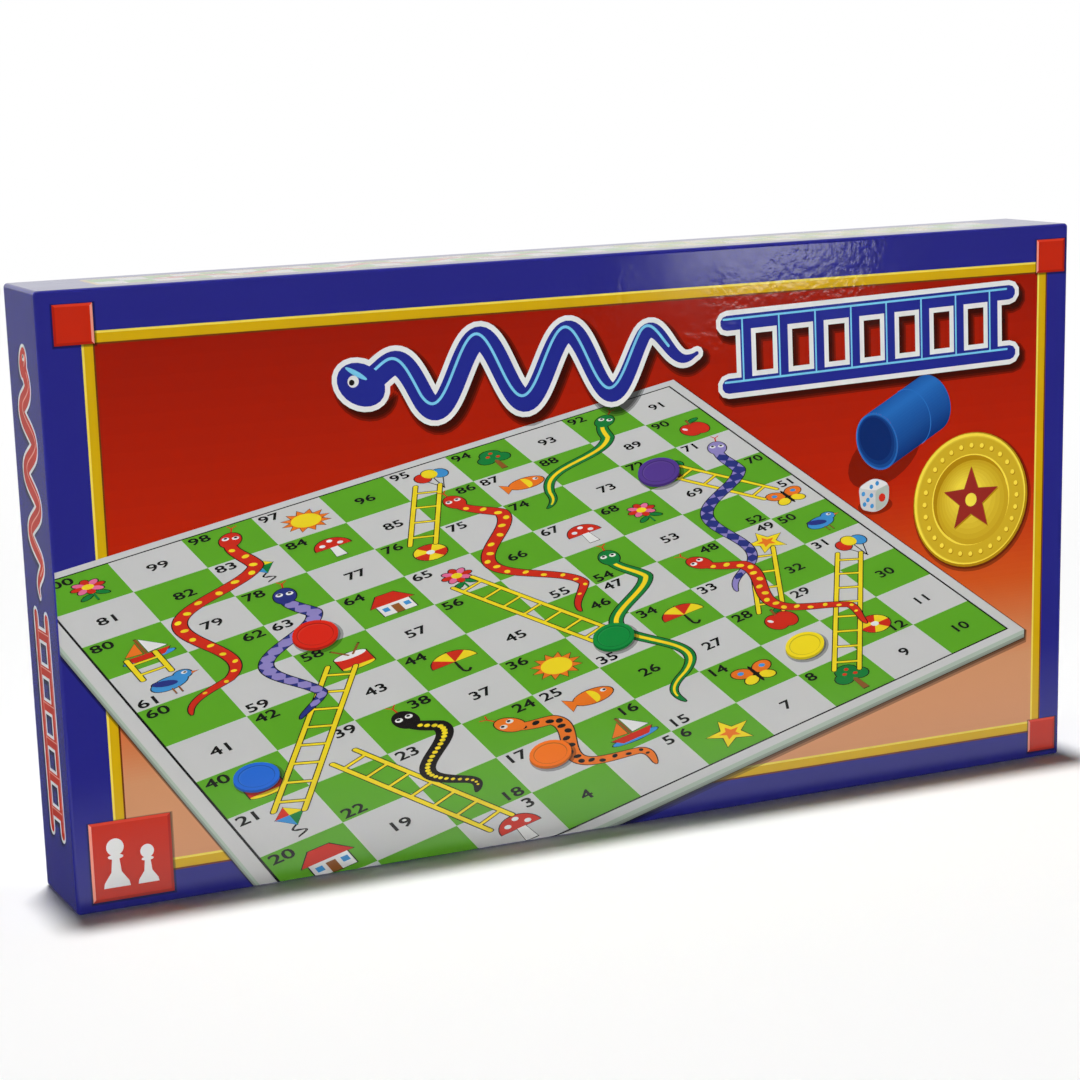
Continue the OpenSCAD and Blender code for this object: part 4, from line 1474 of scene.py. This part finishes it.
@once
def wrap_paper(name, colour):
    """Thin white paper glued to greyboard, whose pulp shows through it as faint soft clouds."""
    finish = Finish(name, colour, specular_ior_level=0.35)
    fibre = finish.noise(420, 4, finish.place((1, 1, 0.35)), 0.65)
    cloud = finish.noise(9, 3) * 0.6 + finish.noise(70, 3) * 0.4
    finish.mix(finish.span(cloud, 0.36, 0.64), tuple(c * 0.95 for c in colour), colour)
    return finish.done(0.55 + fibre * 0.25, fibre + finish.noise(26, 1) * 2.0, 0.00025, 0.6)


@once
def fibre_board(name, colour, dark):
    """Pressed waste paper: mottled pulp with dark fibres that lie flat in its layers."""
    finish = Finish(name, colour, specular_ior_level=0.25)
    pulp = finish.noise(160, 5, None, 0.7)
    fibre = finish.noise(900, 3, finish.place((1, 1.5, 0.3)), 0.6)
    dark_share = finish.span(fibre * 0.6 + pulp * 0.4, 0.42, 0.66, 0.0, 1.0)
    finish.mix(dark_share, colour, dark)
    return finish.done(0.85, fibre + pulp, 0.0003, 0.6)


@once
def moulded(name, colour, roughness):
    """Moulded plastic: a gloss skin with a faint ripple and fine handling marks."""
    finish = Finish(name, colour, ior=1.5, coat_weight=0.15, coat_roughness=0.1)
    marks = finish.noise(340, 5, finish.place((1, 0.25, 1)), 0.7)
    return finish.done(roughness - 0.06 + marks * 0.16, finish.noise(120, 2) + marks * 0.2, 0.00025, 0.2)


@once
def formed_sheet(name, colour):
    """Thermoformed sheet: satin plastic with the slight pull of the forming."""
    finish = Finish(name, colour, ior=1.5, subsurface_weight=0.08)
    finish.set(finish.shader, {"Subsurface Radius": (0.002, 0.002, 0.002)})
    return finish.done(0.28 + finish.noise(90, 3) * 0.14,
                       finish.noise(14, 2) * 3.0 + finish.noise(500, 2) * 0.15, 0.0004, 0.3)


@once
def woven_cloth(name, colour):
    """Plain weave: threads along the board cross threads over its fold, each a rounded wave. Its colour is
    darker where the threads lie low, painted shade in the hollows between them.
    """
    finish = Finish(name, colour, specular_ior_level=0.2, sheen_weight=0.25)
    threads = 0.0
    for direction in ("X", "DIAGONAL"):
        wave_bands = finish.node("ShaderNodeTexWave", {"wave_type": "BANDS", "bands_direction": direction}, {
            "Vector": finish.place(), "Scale": 420.0, "Distortion": 1.5, "Detail": 1.0}, "Fac")
        threads = Number(finish, wave_bands) + threads
    # Painted shade: the colour follows the threads' relief and darkens in the hollows between them
    finish.mix(finish.span(threads, 0.3, 1.6), tuple(c * 0.8 for c in colour), colour)
    return finish.done(0.9, threads, 0.0003, 0.8)


# Pieces

class GAME_OT_boards(bpy.types.Operator):
    """Greyboard of lid, tray and board, the corner stays and the board's backing paper."""
    bl_idname = "game.boards"
    bl_label = "Boards and backing"

    def execute(self, context):
        grey = fibre_board(*ink("greyboard"), ink("greyboard_fibre")[1])
        tape = fibre_board("stay_tape", ink("tape_brown")[1], ink("tape_fibre")[1])
        backing = satin_print(*ink("backing_blue"))
        for nodes, finish in (
                (("lid_shell", "tray_shell", "board_rear_panel", "board_front_panel"), grey),
                (("lid_corner_stays", "tray_corner_stays"), tape),
                (("board_rear_backing", "board_front_backing"), backing)):
            for node in nodes:
                for slot in bpy.data.objects[node].material_slots:
                    slot.material = finish
        return {"FINISHED"}


class GAME_OT_lid(bpy.types.Operator):
    """Gloss-laminated printed paper round the lid's board, over its rim and turned in."""
    bl_idname = "game.lid"
    bl_label = "Lid paper"

    def execute(self, context):
        low, high = node_box("lid_wrap")
        l, depth, h = high - low
        items = moved(lid_front_print(), lambda o: (o - (ART_W / 2, ART_H / 2)) * (l / ART_W, h / ART_H))
        edge = EDGE_R * (TURN / 8 - 1)
        half_l, half_h = l / 2 + edge, h / 2 + edge
        far = half_l + depth + EDGE_R * TURN
        for side in (oblong(-far, -half_h, -half_l, half_h), oblong(half_l, -half_h, far, half_h),
                     oblong(-half_l, half_h, half_l, far), oblong(-half_l, -far, half_l, -half_h)):
            items += inked(("border_blue", side))
        mid_l, mid_h = half_l + edge + depth / 2, half_h + edge + depth / 2
        title = banner(*SIDE_TITLE)
        items += moved(title, turned(-mid_l, LEFT_START, 3)) + moved(title, turned(mid_l, RIGHT_START, 1))
        strip = side_strip(l)
        items += moved(strip, turned(0, mid_h, 0)) + moved(strip, turned(0, -mid_h, 2))
        mesh = wrapped_box("lid_paper", low, high, items, 1, gloss_print, ink("border_blue"))
        add_piece(mesh, "lid", ["lid_wrap"])
        return {"FINISHED"}


def turned(x, y, quarters):
    """Turns outlines about the origin by quarter turns and moves them to a place."""
    c, s = round(math.cos(quarters * TURN / 4)), round(math.sin(quarters * TURN / 4))
    return lambda o: o @ np.array([(c, s), (-s, c)]) + (x, y)


class GAME_OT_tray(bpy.types.Operator):
    """Plain paper round the tray's board, over its rim and turned in."""
    bl_idname = "game.tray"
    bl_label = "Tray paper"

    def execute(self, context):
        low, high = node_box("tray_wrap")
        far = 2 * max(high - low)
        mesh = wrapped_box("tray_paper", low, high, inked(("tray_white", oblong(-far, -far, far, far))),
                           -1, wrap_paper, ink("tray_white"))
        add_piece(mesh, "tray", ["tray_wrap"])
        return {"FINISHED"}


class GAME_OT_board(bpy.types.Operator):
    """Printed playing faces of the folding board, cut along every outline of their print."""
    bl_idname = "game.board"
    bl_label = "Playing faces"

    def execute(self, context):
        items = board_print()
        half = SQUARES / 2
        for name, body, side in (("rear", "board_rear", -1), ("front", "board_front", 1)):
            low, high = node_box(f"board_{name}_face")
            cell = (high[0] - low[0]) / (SQUARES + 2 * MARGIN)
            x0 = low[0] + MARGIN * cell
            way = -side

            def place(o):
                return np.column_stack([x0 + o[:, 0] * cell, high[2] + way * (o[:, 1] - half) * cell])
            mesh = sheet(f"playing_face_{name}", low, high, moved(items, place), side, satin_print,
                         ink("cell_white"))
            add_piece(mesh, body, [f"board_{name}_face"])
        return {"FINISHED"}


class GAME_OT_hinge(bpy.types.Operator):
    """Woven hinge cloth that lies under both playing faces and bends over the fold."""
    bl_idname = "game.hinge"
    bl_label = "Hinge cloth"

    def execute(self, context):
        low, high = node_box("board_hinge_cloth")
        t = CLOTH_T
        # How far its corners are softened, and how much of its room the cloth fills
        soft, filled = 0.12, 0.96
        front, rear, top = low[1] + t / 2, high[1] - t / 2, high[2] - t / 2
        steps = np.linspace(0, 1, 7)[1:-1, None]
        cap = np.array([front, top]) + steps * (rear - front, 0)
        line = softened(np.vstack([[front, low[2]], [front, top], cap, [rear, top], [rear, low[2]]]), soft, 3)
        co, faces = band(line, t * filled, low[0], high[0])
        mesh = add_mesh("hinge_cloth", co[:, [2, 0, 1]], faces)
        piece = closed_piece(mesh, None, ["board_hinge_cloth"],
                             woven_cloth(*ink("cloth_white")))
        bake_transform(piece)
        return {"FINISHED"}


class GAME_OT_insert(bpy.types.Operator):
    """Thermoformed insert with a pocket for every piece, rounded at each lip and floor."""
    bl_idname = "game.insert"
    bl_label = "Formed insert"
    turns = np.sin(np.linspace(0, TURN / 4, 5))

    def execute(self, context):
        low, high = node_box("formed_insert")
        l, depth, h = high - low
        x, z = (low[0] + high[0]) / 2, (low[2] + high[2]) / 2
        edge = (x, z, l / 2, h / 2, INSERT_R)
        rooms = self.rooms()
        outlines = [round_rect(x, z, l / 2 - s, h / 2 - s, INSERT_R - s)
                    for s in (0, WALL_SLOPE, *(WALL_SLOPE + SKIRT_LIP * (1 - self.turns[:-1])))]
        for room, deep in rooms:
            r = min(LIP_R, LIP_SHARE * deep)
            outlines += sunk_outlines(room, r, r, steps=BEND_STEPS if room[4] < BIG_R else 14)
        co, tris = cut(outlines, 1e-7)
        tris = tris[reach_inside(co[tris].mean(axis=1), edge) > 0]
        fall = depth - sunk(reach_inside(co, edge), depth, 0.0, SKIRT_LIP)
        for room, deep in rooms:
            r = min(LIP_R, LIP_SHARE * deep)
            fall = np.maximum(fall, sunk(reach_inside(co, room), deep, r, r))
        points = np.insert(co, 1, low[1] + fall, axis=1)
        mesh = add_mesh("insert_sheet", points, tris)
        merge(mesh, distance=0.002)
        smooth(mesh, 50)
        finish = formed_sheet(*ink("insert_white"))
        piece = add_piece(mesh, "tray", ["formed_insert"], finish)
        wall = piece.modifiers.new("wall", "SOLIDIFY")
        wall.thickness, wall.offset = INSERT_T * MM, -1
        return {"FINISHED"}

    def rooms(self):
        """Each pocket and scoop as a room and its depth, from the pieces that lie in them."""
        def around(name, gap, r=None):
            (x0, _, z0), (x1, y1, z1) = node_box(name)
            half_l, half_h = (x1 - x0) / 2 + gap, (z1 - z0) / 2 + gap
            centre = ((x0 + x1) / 2, (z0 + z1) / 2 + DROP)
            return (*centre, half_l, half_h, POCKET_R if r is None else half_l), y1 + SEAT - deck
        deck = node_box("formed_insert")[0][1]
        cup, cup_deep = around("shaker_cup", POCKET_GAP)
        die, die_deep = around("die_body", POCKET_GAP)
        rooms = [(cup, cup_deep), (die, die_deep), around("rules_leaflet", POCKET_GAP)]
        for sign in (-1, 1):
            rooms.append(((cup[0], cup[1] + sign * cup[3], *[CUP_SCOOP] * 3), cup_deep * SCOOP))
            rooms.append(((die[0] + sign * die[2], die[1], *[DIE_SCOOP] * 3), die_deep * SCOOP))
        for above, below in (("red", "orange"), ("blue", "yellow"), ("green", "purple")):
            first, second = (around(f"counter_{name}", POCKET_GAP, 0) for name in (above, below))
            rooms += [first, second]
            middle = (first[0][1] + second[0][1]) / 2
            reach = (first[0][1] - second[0][1]) / 2 + first[0][3] - POCKET_GAP + GROOVE_OUT
            rooms.append(((first[0][0], middle, GROOVE_W / 2, reach, GROOVE_W / 2), GROOVE_D))
        return rooms


class GAME_OT_leaflet(bpy.types.Operator):
    """Folded rules leaflet, with plain lines and a small diagram in place of words."""
    bl_idname = "game.leaflet"
    bl_label = "Leaflet"

    def execute(self, context):
        low, high = node_box("rules_leaflet")
        paper, film, bend_l = 0.14, 0.02, 2.0
        front, back, x0 = low[1] + film + paper / 2, high[1] - paper / 2, low[0] + paper / 2
        turn = np.linspace(0.25, 0.75, 9) * TURN
        r = (back - front) / 2
        bend = np.column_stack([x0 + r + r * np.cos(turn), back - r + r * np.sin(turn)])
        co, faces = band(np.vstack([[high[0], back], bend, [high[0], front]]), paper, low[2], high[2])
        white = matt_paper(*ink("leaflet_white"))
        closed_piece(add_mesh("leaflet", co, faces), "rules", ["rules_leaflet"], white)
        corner, end = low + (bend_l, 0, 0), np.array([high[0], low[1] + film, high[2]])
        print_items = shifted(self.cover(end[0] - corner[0], end[2] - corner[2]), corner[0], corner[2])
        cover = sheet("leaflet_print", corner, end, print_items, -1, matt_paper, ink("leaflet_white"))
        add_piece(cover, "rules", ())
        return {"FINISHED"}

    def cover(self, l, h):
        """A chequer with a snake and a ladder, and three blocks of lines, from the lower left."""
        columns, rows, cell, line, edge = 8, 5, 8.0, 0.5, 10
        x0, y0 = (l - columns * cell) / 2, h - rows * cell - edge
        x1, y1 = x0 + columns * cell, y0 + rows * cell
        items = inked(("leaflet_white", oblong(-1, -1, l + 1, h + 1)),
                      ("leaflet_grey", oblong(x0 - line, y0 - line, x1 + line, y1 + line)))
        items += chequer(x0, y0, columns, rows, cell, "leaflet_white")
        items += ladder((x0 + 12, y0 + 4), (x0 + 20, y0 + 36), 5, line / 2)
        path = wave((x0 + 52, y0 + 35), (x0 + 36, y0 + 6), 3.4, 1.5, 60)
        items += snake(path, 2.6, "red", "yellow", "spots", line / 2)
        # Blocks of lines: steps between blocks and lines, a heading's size and the lines' ends
        block_step, line_step, heading_l, heading_h, line_h = 27.0, 4.6, 30, 2.0, 1.0
        end_shares = (0.98, 0.93, 0.96, 0.55)
        for block in range(3):
            top = y0 - edge - block * block_step
            items += inked(("leaflet_grey", oblong(edge, top, edge + heading_l - 5 * block, top + heading_h)))
            for k in range(len(end_shares)):
                y = top - 5 - k * line_step
                end = edge + (l - 2 * edge) * end_shares[(k + block) % len(end_shares)]
                items += inked(("leaflet_grey", oblong(edge, y, end, y + line_h)))
        return items


class GAME_OT_cup(bpy.types.Operator):
    """Shaker cup: a turned wall with a ring at its mouth and its foot, all edges softened."""
    bl_idname = "game.cup"
    bl_label = "Shaker cup"

    def execute(self, context):
        low, high = node_box("shaker_cup")
        r, length = (high[2] - low[2]) / 2, high[0] - low[0]
        # Rings at mouth and foot, how far they stand out and their slope; wall, floor, sunk foot
        mouth, foot, proud, slope = 5.0, 3.0, 0.8, 0.3
        wall, floor, sunk_foot, land, run = 1.4, 1.8, 0.5, 3.0, 0.4
        side = r - proud
        profile = softened([
            (0, sunk_foot), (r - land - run, sunk_foot), (r - land, 0), (r, 0), (r, foot),
            (side, foot + slope),
            (side, length - mouth - slope), (r, length - mouth), (r, length), (side - wall, length),
            (side - wall, floor), (0, floor)],
            (0.3, 0.25, 0.7, 0.35, 0.35, 0.35, 0.35, 0.6, 0.6, 1.5), 5)
        mouth_end = (high[0], (low[1] + high[1]) / 2, (low[2] + high[2]) / 2)
        co, faces = lathe(profile, mouth_end, (-1, 0, 0), 96)
        closed_piece(add_mesh("cup", co, faces), "cup", ["shaker_cup"],
                     moulded(*ink("cup_blue"), 0.2))
        return {"FINISHED"}


class GAME_OT_die(bpy.types.Operator):
    """Die: a cube with round edges inside a ball, with sunk pips and the paint in them."""
    bl_idname = "game.die"
    bl_label = "Die"
    # Pips of each face and the face's own axes, as opposite faces add up to 7
    faces = (
        (1, (1, 0, 0), (0, 0, 1), (0, -1, 0)), (6, (1, 0, 0), (0, 0, -1), (0, 1, 0)),
        (2, (0, 0, 1), (0, 1, 0), (-1, 0, 0)), (5, (0, 0, -1), (0, 1, 0), (1, 0, 0)),
        (3, (1, 0, 0), (0, 1, 0), (0, 0, 1)), (4, (1, 0, 0), (0, -1, 0), (0, 0, -1)))

    def execute(self, context):
        low, high = node_box("die_body")
        centre, half = (low + high) / 2, (high[0] - low[0]) / 2
        co, tris = together([self.face(n, np.array(axes, float), half) for n, *axes in self.faces])
        mesh = add_mesh("die", co + centre, tris)
        closed_piece(mesh, "die", ["die_body"], moulded(*ink("die_white"), 0.16), 30)
        for name, node, counts, r in (("blue", "die_blue_pips", (2, 3, 4, 5, 6), BLUE_PIP_R),
                                      ("red", "die_red_pip", (1,), RED_PIP_R)):
            # The paint's disc from its flat foot round its edge to its dished face
            profile = np.array([(0, -PIP_D), (r - 0.1, -PIP_D), (r, 0.1 - PIP_D), (r, -0.2),
                                (r - 0.1, -0.19), (r * 0.6, -0.25), (0, -0.28)]) + (0, half)
            discs = [lathe(profile, centre + (np.array(pip) * PIP_PLACE * 2 * half) @ np.array([u, v]), w, 28)
                     for count, u, v, w in self.faces if count in counts for pip in self.pips(count)]
            closed_piece(add_mesh(f"pips_{name}", *together(discs)), "die", [node],
                         moulded(*ink(f"pip_{name}"), 0.22))
        return {"FINISHED"}

    def pips(self, count):
        """Places of a face's pips, in steps from its middle."""
        return ([(0, 0)] if count % 2 else []) + ([(-1, -1), (1, 1)] if count > 1 else []) + (
            [(-1, 1), (1, -1)] if count > 3 else []) + ([(-1, 0), (1, 0)] if count == 6 else [])

    def face(self, count, axes, half):
        """One face: a grid on the cube, with a ring round each pip. A point moves to the distance
        soft from the cube that lies soft further in, and no further out than the ball."""
        soft, ball = DIE_SOFT, half * DIE_BALL
        r = (RED_PIP_R if count == 1 else BLUE_PIP_R) + PIP_GAP
        bends = half - soft + soft * np.tan(np.linspace(0, TURN / 8, 5))
        lines = np.concatenate([-bends[::-1], np.linspace(soft - half, half - soft, 15)[1:-1], bends])
        cells = [oblong(p, -half, q, half) for p, q in zip(lines[::2], lines[1::2])]
        cells += [oblong(-half, p, half, q) for p, q in zip(lines[::2], lines[1::2])]
        rooms = [(*(np.array(pip) * PIP_PLACE * 2 * half), r, r, r) for pip in self.pips(count)]
        rings = [o for room in rooms for o in sunk_outlines(room, PIP_SOFT, PIP_SOFT, steps=8)]
        co, tris = cut([*cells, oblong(-half, -half, half, half), *rings], 1e-7)
        depth = np.max([sunk(reach_inside(co, room), PIP_D, PIP_SOFT, PIP_SOFT) for room in rooms], axis=0)
        flat = np.column_stack([co, np.full(len(co), half)])
        core = np.clip(flat, soft - half, half - soft)
        away = flat - core
        out = core + soft * away / lengths(away)
        out *= np.minimum(1, ball / lengths(out))
        out[:, 2] -= depth
        return out @ axes, tris


class GAME_OT_counters(bpy.types.Operator):
    """Six round counters with raised, softened rims and a gate mark in the middle."""
    bl_idname = "game.counters"
    bl_label = "Counters"

    def execute(self, context):
        # Rim, how far the middle is sunk, the gate mark, and a bead round it at shares of the middle
        rim, sunk_by, gate_r, gate_d, bead = 2.6, 0.35, 0.9, 0.12, 0.1
        bead_shares = ((0.62, 0), (0.66, 1), (0.74, 1), (0.78, 0))
        for name in ("red", "blue", "green", "orange", "yellow", "purple"):
            low, high = node_box(f"counter_{name}")
            r, half = (high[0] - low[0]) / 2, (high[1] - low[1]) / 2
            hub, dip = r - rim, half - sunk_by
            side = [(0, gate_d - dip), (gate_r, gate_d - dip), (gate_r + 0.2, -dip),
                    *[(hub * share, -dip - bead * up) for share, up in bead_shares],
                    (hub, -dip), (hub + sunk_by, -half), (r, -half)]
            profile = softened(np.vstack([side, (np.array(side) * (1, -1))[::-1]]), (
                *[0.2] * 6, 0.3, 0.3, 0.45, 0.45, 0.3, 0.3, *[0.2] * 6), 4)
            co, faces = lathe(profile, (low + high) / 2, (0, 1, 0), 80)
            closed_piece(add_mesh(f"playing_counter_{name}", co, faces), f"{name}_counter",
                         [f"counter_{name}"], moulded(*ink(f"counter_{name}"), 0.22), 30)
        return {"FINISHED"}


class GAME_OT_stage(bpy.types.Operator):
    """Pale floor that glows with painted reflections for gloss, white surround, a lamp and the camera."""
    bl_idname = "game.stage"
    bl_label = "Stage"
    # The camera's place in metres and its yaw, pitch and roll, the lens, and the picture's shift
    place, turns = (-0.3786, -0.7781, 0.2597), (0.4310, -0.2334, -0.0291)
    lens, sensor, shift = 87.0, 36.0, (0.0125, 0.115)
    # The lamp's place, what it shines at, its size and its power
    lamp_place, lamp_aim, lamp_size, lamp_power = (0.0, 0.45, 6.0), (0, 0, 0.1), 0.45, 335
    # Half the floor's side in millimetres, and the ring in metres where it turns white
    reach = 30000.0
    white_ring = (0.26, 1.0)
    # As gloss sees the floor, a glow of painted reflection in place of the lit floor: how far it brightens
    # towards the back, a painted bright strip before the box and its strength, and a painted window far
    # before it with its slope and strength
    gloss_floor = (-0.1, 0.6, 0.05, 0.28)
    strip_rise, strip_fall, strip_power = (-0.17, -0.06), (-0.034, -0.025), 0.9
    window_end, window_left, window_right = (-1.9, -1.75), (-0.12, 0.0), (0.12, 0.24)
    window_slope, window_power = 0.575, 5.0
    # The surround as gloss sees it, and the ring that lights, from its height to the sky's
    gloss_world = (-0.2, 0.5, 0.06, 0.85)
    light_ring = (0.01, 0.08, 16.0, 0.03)

    def execute(self, context):
        self.camera(context.scene)
        self.floor()
        self.world(context.scene)
        self.lamp()
        context.scene.view_settings.view_transform = "Standard"
        return {"FINISHED"}

    def camera(self, scene):
        """The camera stands at its place and looks along its yaw, pitch and roll."""
        yaw, pitch, roll = self.turns
        level = math.cos(pitch)
        ahead = Vector((math.sin(yaw) * level, math.cos(yaw) * level, math.sin(pitch)))
        side = Vector((math.cos(yaw), -math.sin(yaw), 0))
        above = side.cross(ahead)
        right = math.cos(roll) * side + math.sin(roll) * above
        up = math.cos(roll) * above - math.sin(roll) * side
        data = bpy.data.cameras.new("camera")
        data.lens, data.sensor_width = self.lens, self.sensor
        data.shift_x, data.shift_y = self.shift
        data.clip_start = 0.01
        piece = add_object("camera", data)
        look = Matrix((right, up, -ahead)).transposed().to_4x4()
        piece.matrix_world = Matrix.Translation(self.place) @ look
        scene.camera = piece

    def floor(self):
        """A pale floor that keeps the box's shadow and turns white away from it for the camera. Gloss
        sees a glow of painted reflection in place of the lit floor: dim before the box, brighter towards the
        back, with a painted bright strip just before the box and a painted window far before it."""
        r = self.reach
        co = np.insert(oblong(-r, -r, r, r), 2, 0, axis=1)
        mesh = add_mesh("floor", co, np.array([[0, 1, 2, 3]]))
        finish = Finish("floor", (0.985, 0.985, 0.985), roughness=0.9, specular_ior_level=0.1)
        path = finish.nodes.new("ShaderNodeLightPath")
        where = finish.place()
        away = finish.node("ShaderNodeVectorMath", {"operation": "LENGTH"}, {0: where}, "Value")
        seen_by_camera = Number(finish, path.outputs["Is Camera Ray"])
        white = finish.span(away, *self.white_ring, kind="SMOOTHSTEP") * seen_by_camera
        across, along = (finish.node("ShaderNodeSeparateXYZ", {}, {0: where}, axis) for axis in "XY")
        slanted = Number(finish, across) + self.window_slope * Number(finish, along)
        # Painted window: a patch of floor far before the box that glows for gloss alone, a painted reflection
        painted_window_glow = (finish.span(along, *self.window_end, 1.0, 0.0, "SMOOTHSTEP")
                  * finish.span(slanted, *self.window_left, kind="SMOOTHSTEP")
                  * finish.span(slanted, *self.window_right, 1.0, 0.0, "SMOOTHSTEP"))
        # Painted bright strip just before the box, seen by gloss alone: a painted reflection
        near = finish.span(along, *self.strip_rise) * finish.span(along, *self.strip_fall, 1.0, 0.0)
        # Gloss sees this glow in place of the lit floor: painted reflection, dim before the box and brighter
        # towards the back
        painted_reflection_glow = finish.node("ShaderNodeEmission", {}, {"Strength": (
            finish.span(along, *self.gloss_floor) + near * self.strip_power + painted_window_glow * self.window_power)})
        glow = finish.node("ShaderNodeEmission")
        seen = finish.node("ShaderNodeMixShader", {}, {0: white, 1: finish.shader.outputs[0], 2: glow})
        mixed = finish.node("ShaderNodeMixShader", {}, {0: path.outputs["Is Glossy Ray"], 1: seen, 2: painted_reflection_glow})
        finish.set(finish.nodes["Material Output"], {"Surface": mixed})
        mesh.materials.append(finish.material)
        piece = add_piece(mesh, None)

    def world(self, scene):
        """White for the camera, and for gloss brighter behind the box than before it. As a light
        it is a low ring round the horizon, which fills upright faces and leaves the floor's
        shadow, under a faint sky."""
        world = bpy.data.worlds.new("studio")
        scene.world = world
        world.use_nodes = True
        nodes = Nodes(world.node_tree)
        path = nodes.nodes.new("ShaderNodeLightPath")
        where = nodes.node("ShaderNodeTexCoord", output="Generated")
        along, up = (nodes.node("ShaderNodeSeparateXYZ", {}, {0: where}, axis) for axis in "YZ")
        camera, gloss = (Number(nodes, path.outputs[name]) for name in ("Is Camera Ray", "Is Glossy Ray"))
        ring = nodes.span(up, *self.light_ring, "SMOOTHSTEP")
        strength = (camera + gloss * nodes.span(along, *self.gloss_world)
                    + (1 - camera) * (1 - gloss) * ring)
        nodes.set(nodes.nodes["Background"], {"Color": (1, 1, 1, 1), "Strength": strength})

    def lamp(self):
        """A round lamp high behind the box, turned to what it shines at."""
        data = bpy.data.lights.new("lamp_above", "AREA")
        data.shape, data.size, data.energy = "DISK", self.lamp_size, self.lamp_power
        piece = add_object("lamp_above", data)
        look = (Vector(self.lamp_place) - Vector(self.lamp_aim)).to_track_quat("Z", "Y")
        piece.matrix_world = Matrix.Translation(self.lamp_place) @ look.to_matrix().to_4x4()


class GAME_PT_panel(bpy.types.Panel):
    """Lists the pieces and their settings."""
    bl_idname = "GAME_PT_panel"
    bl_label = "Board game"
    bl_space_type = "VIEW_3D"
    bl_region_type = "UI"
    bl_category = "Board game"

    def draw(self, context):
        for step in STEPS:
            self.layout.operator(step.bl_idname)
        for settings in (context.scene.game_sizes, context.scene.game_inks):
            for key in settings.__annotations__:
                self.layout.prop(settings, key)


STEPS = (GAME_OT_stage, GAME_OT_boards, GAME_OT_lid, GAME_OT_tray, GAME_OT_board, GAME_OT_hinge,
         GAME_OT_insert, GAME_OT_leaflet, GAME_OT_cup, GAME_OT_die, GAME_OT_counters)
CLASSES = (GAME_PG_inks, GAME_PG_sizes, *STEPS, GAME_PT_panel)


def register():
    for kind in CLASSES:
        bpy.utils.register_class(kind)
    bpy.types.Scene.game_inks = bpy.props.PointerProperty(type=GAME_PG_inks)
    bpy.types.Scene.game_sizes = bpy.props.PointerProperty(type=GAME_PG_sizes)


def unregister():
    del bpy.types.Scene.game_sizes
    del bpy.types.Scene.game_inks
    for kind in reversed(CLASSES):
        bpy.utils.unregister_class(kind)


def main():
    register()
    for step in STEPS:
        getattr(bpy.ops.game, step.bl_idname.split(".")[1])()


if __name__ == "__main__":
    main()
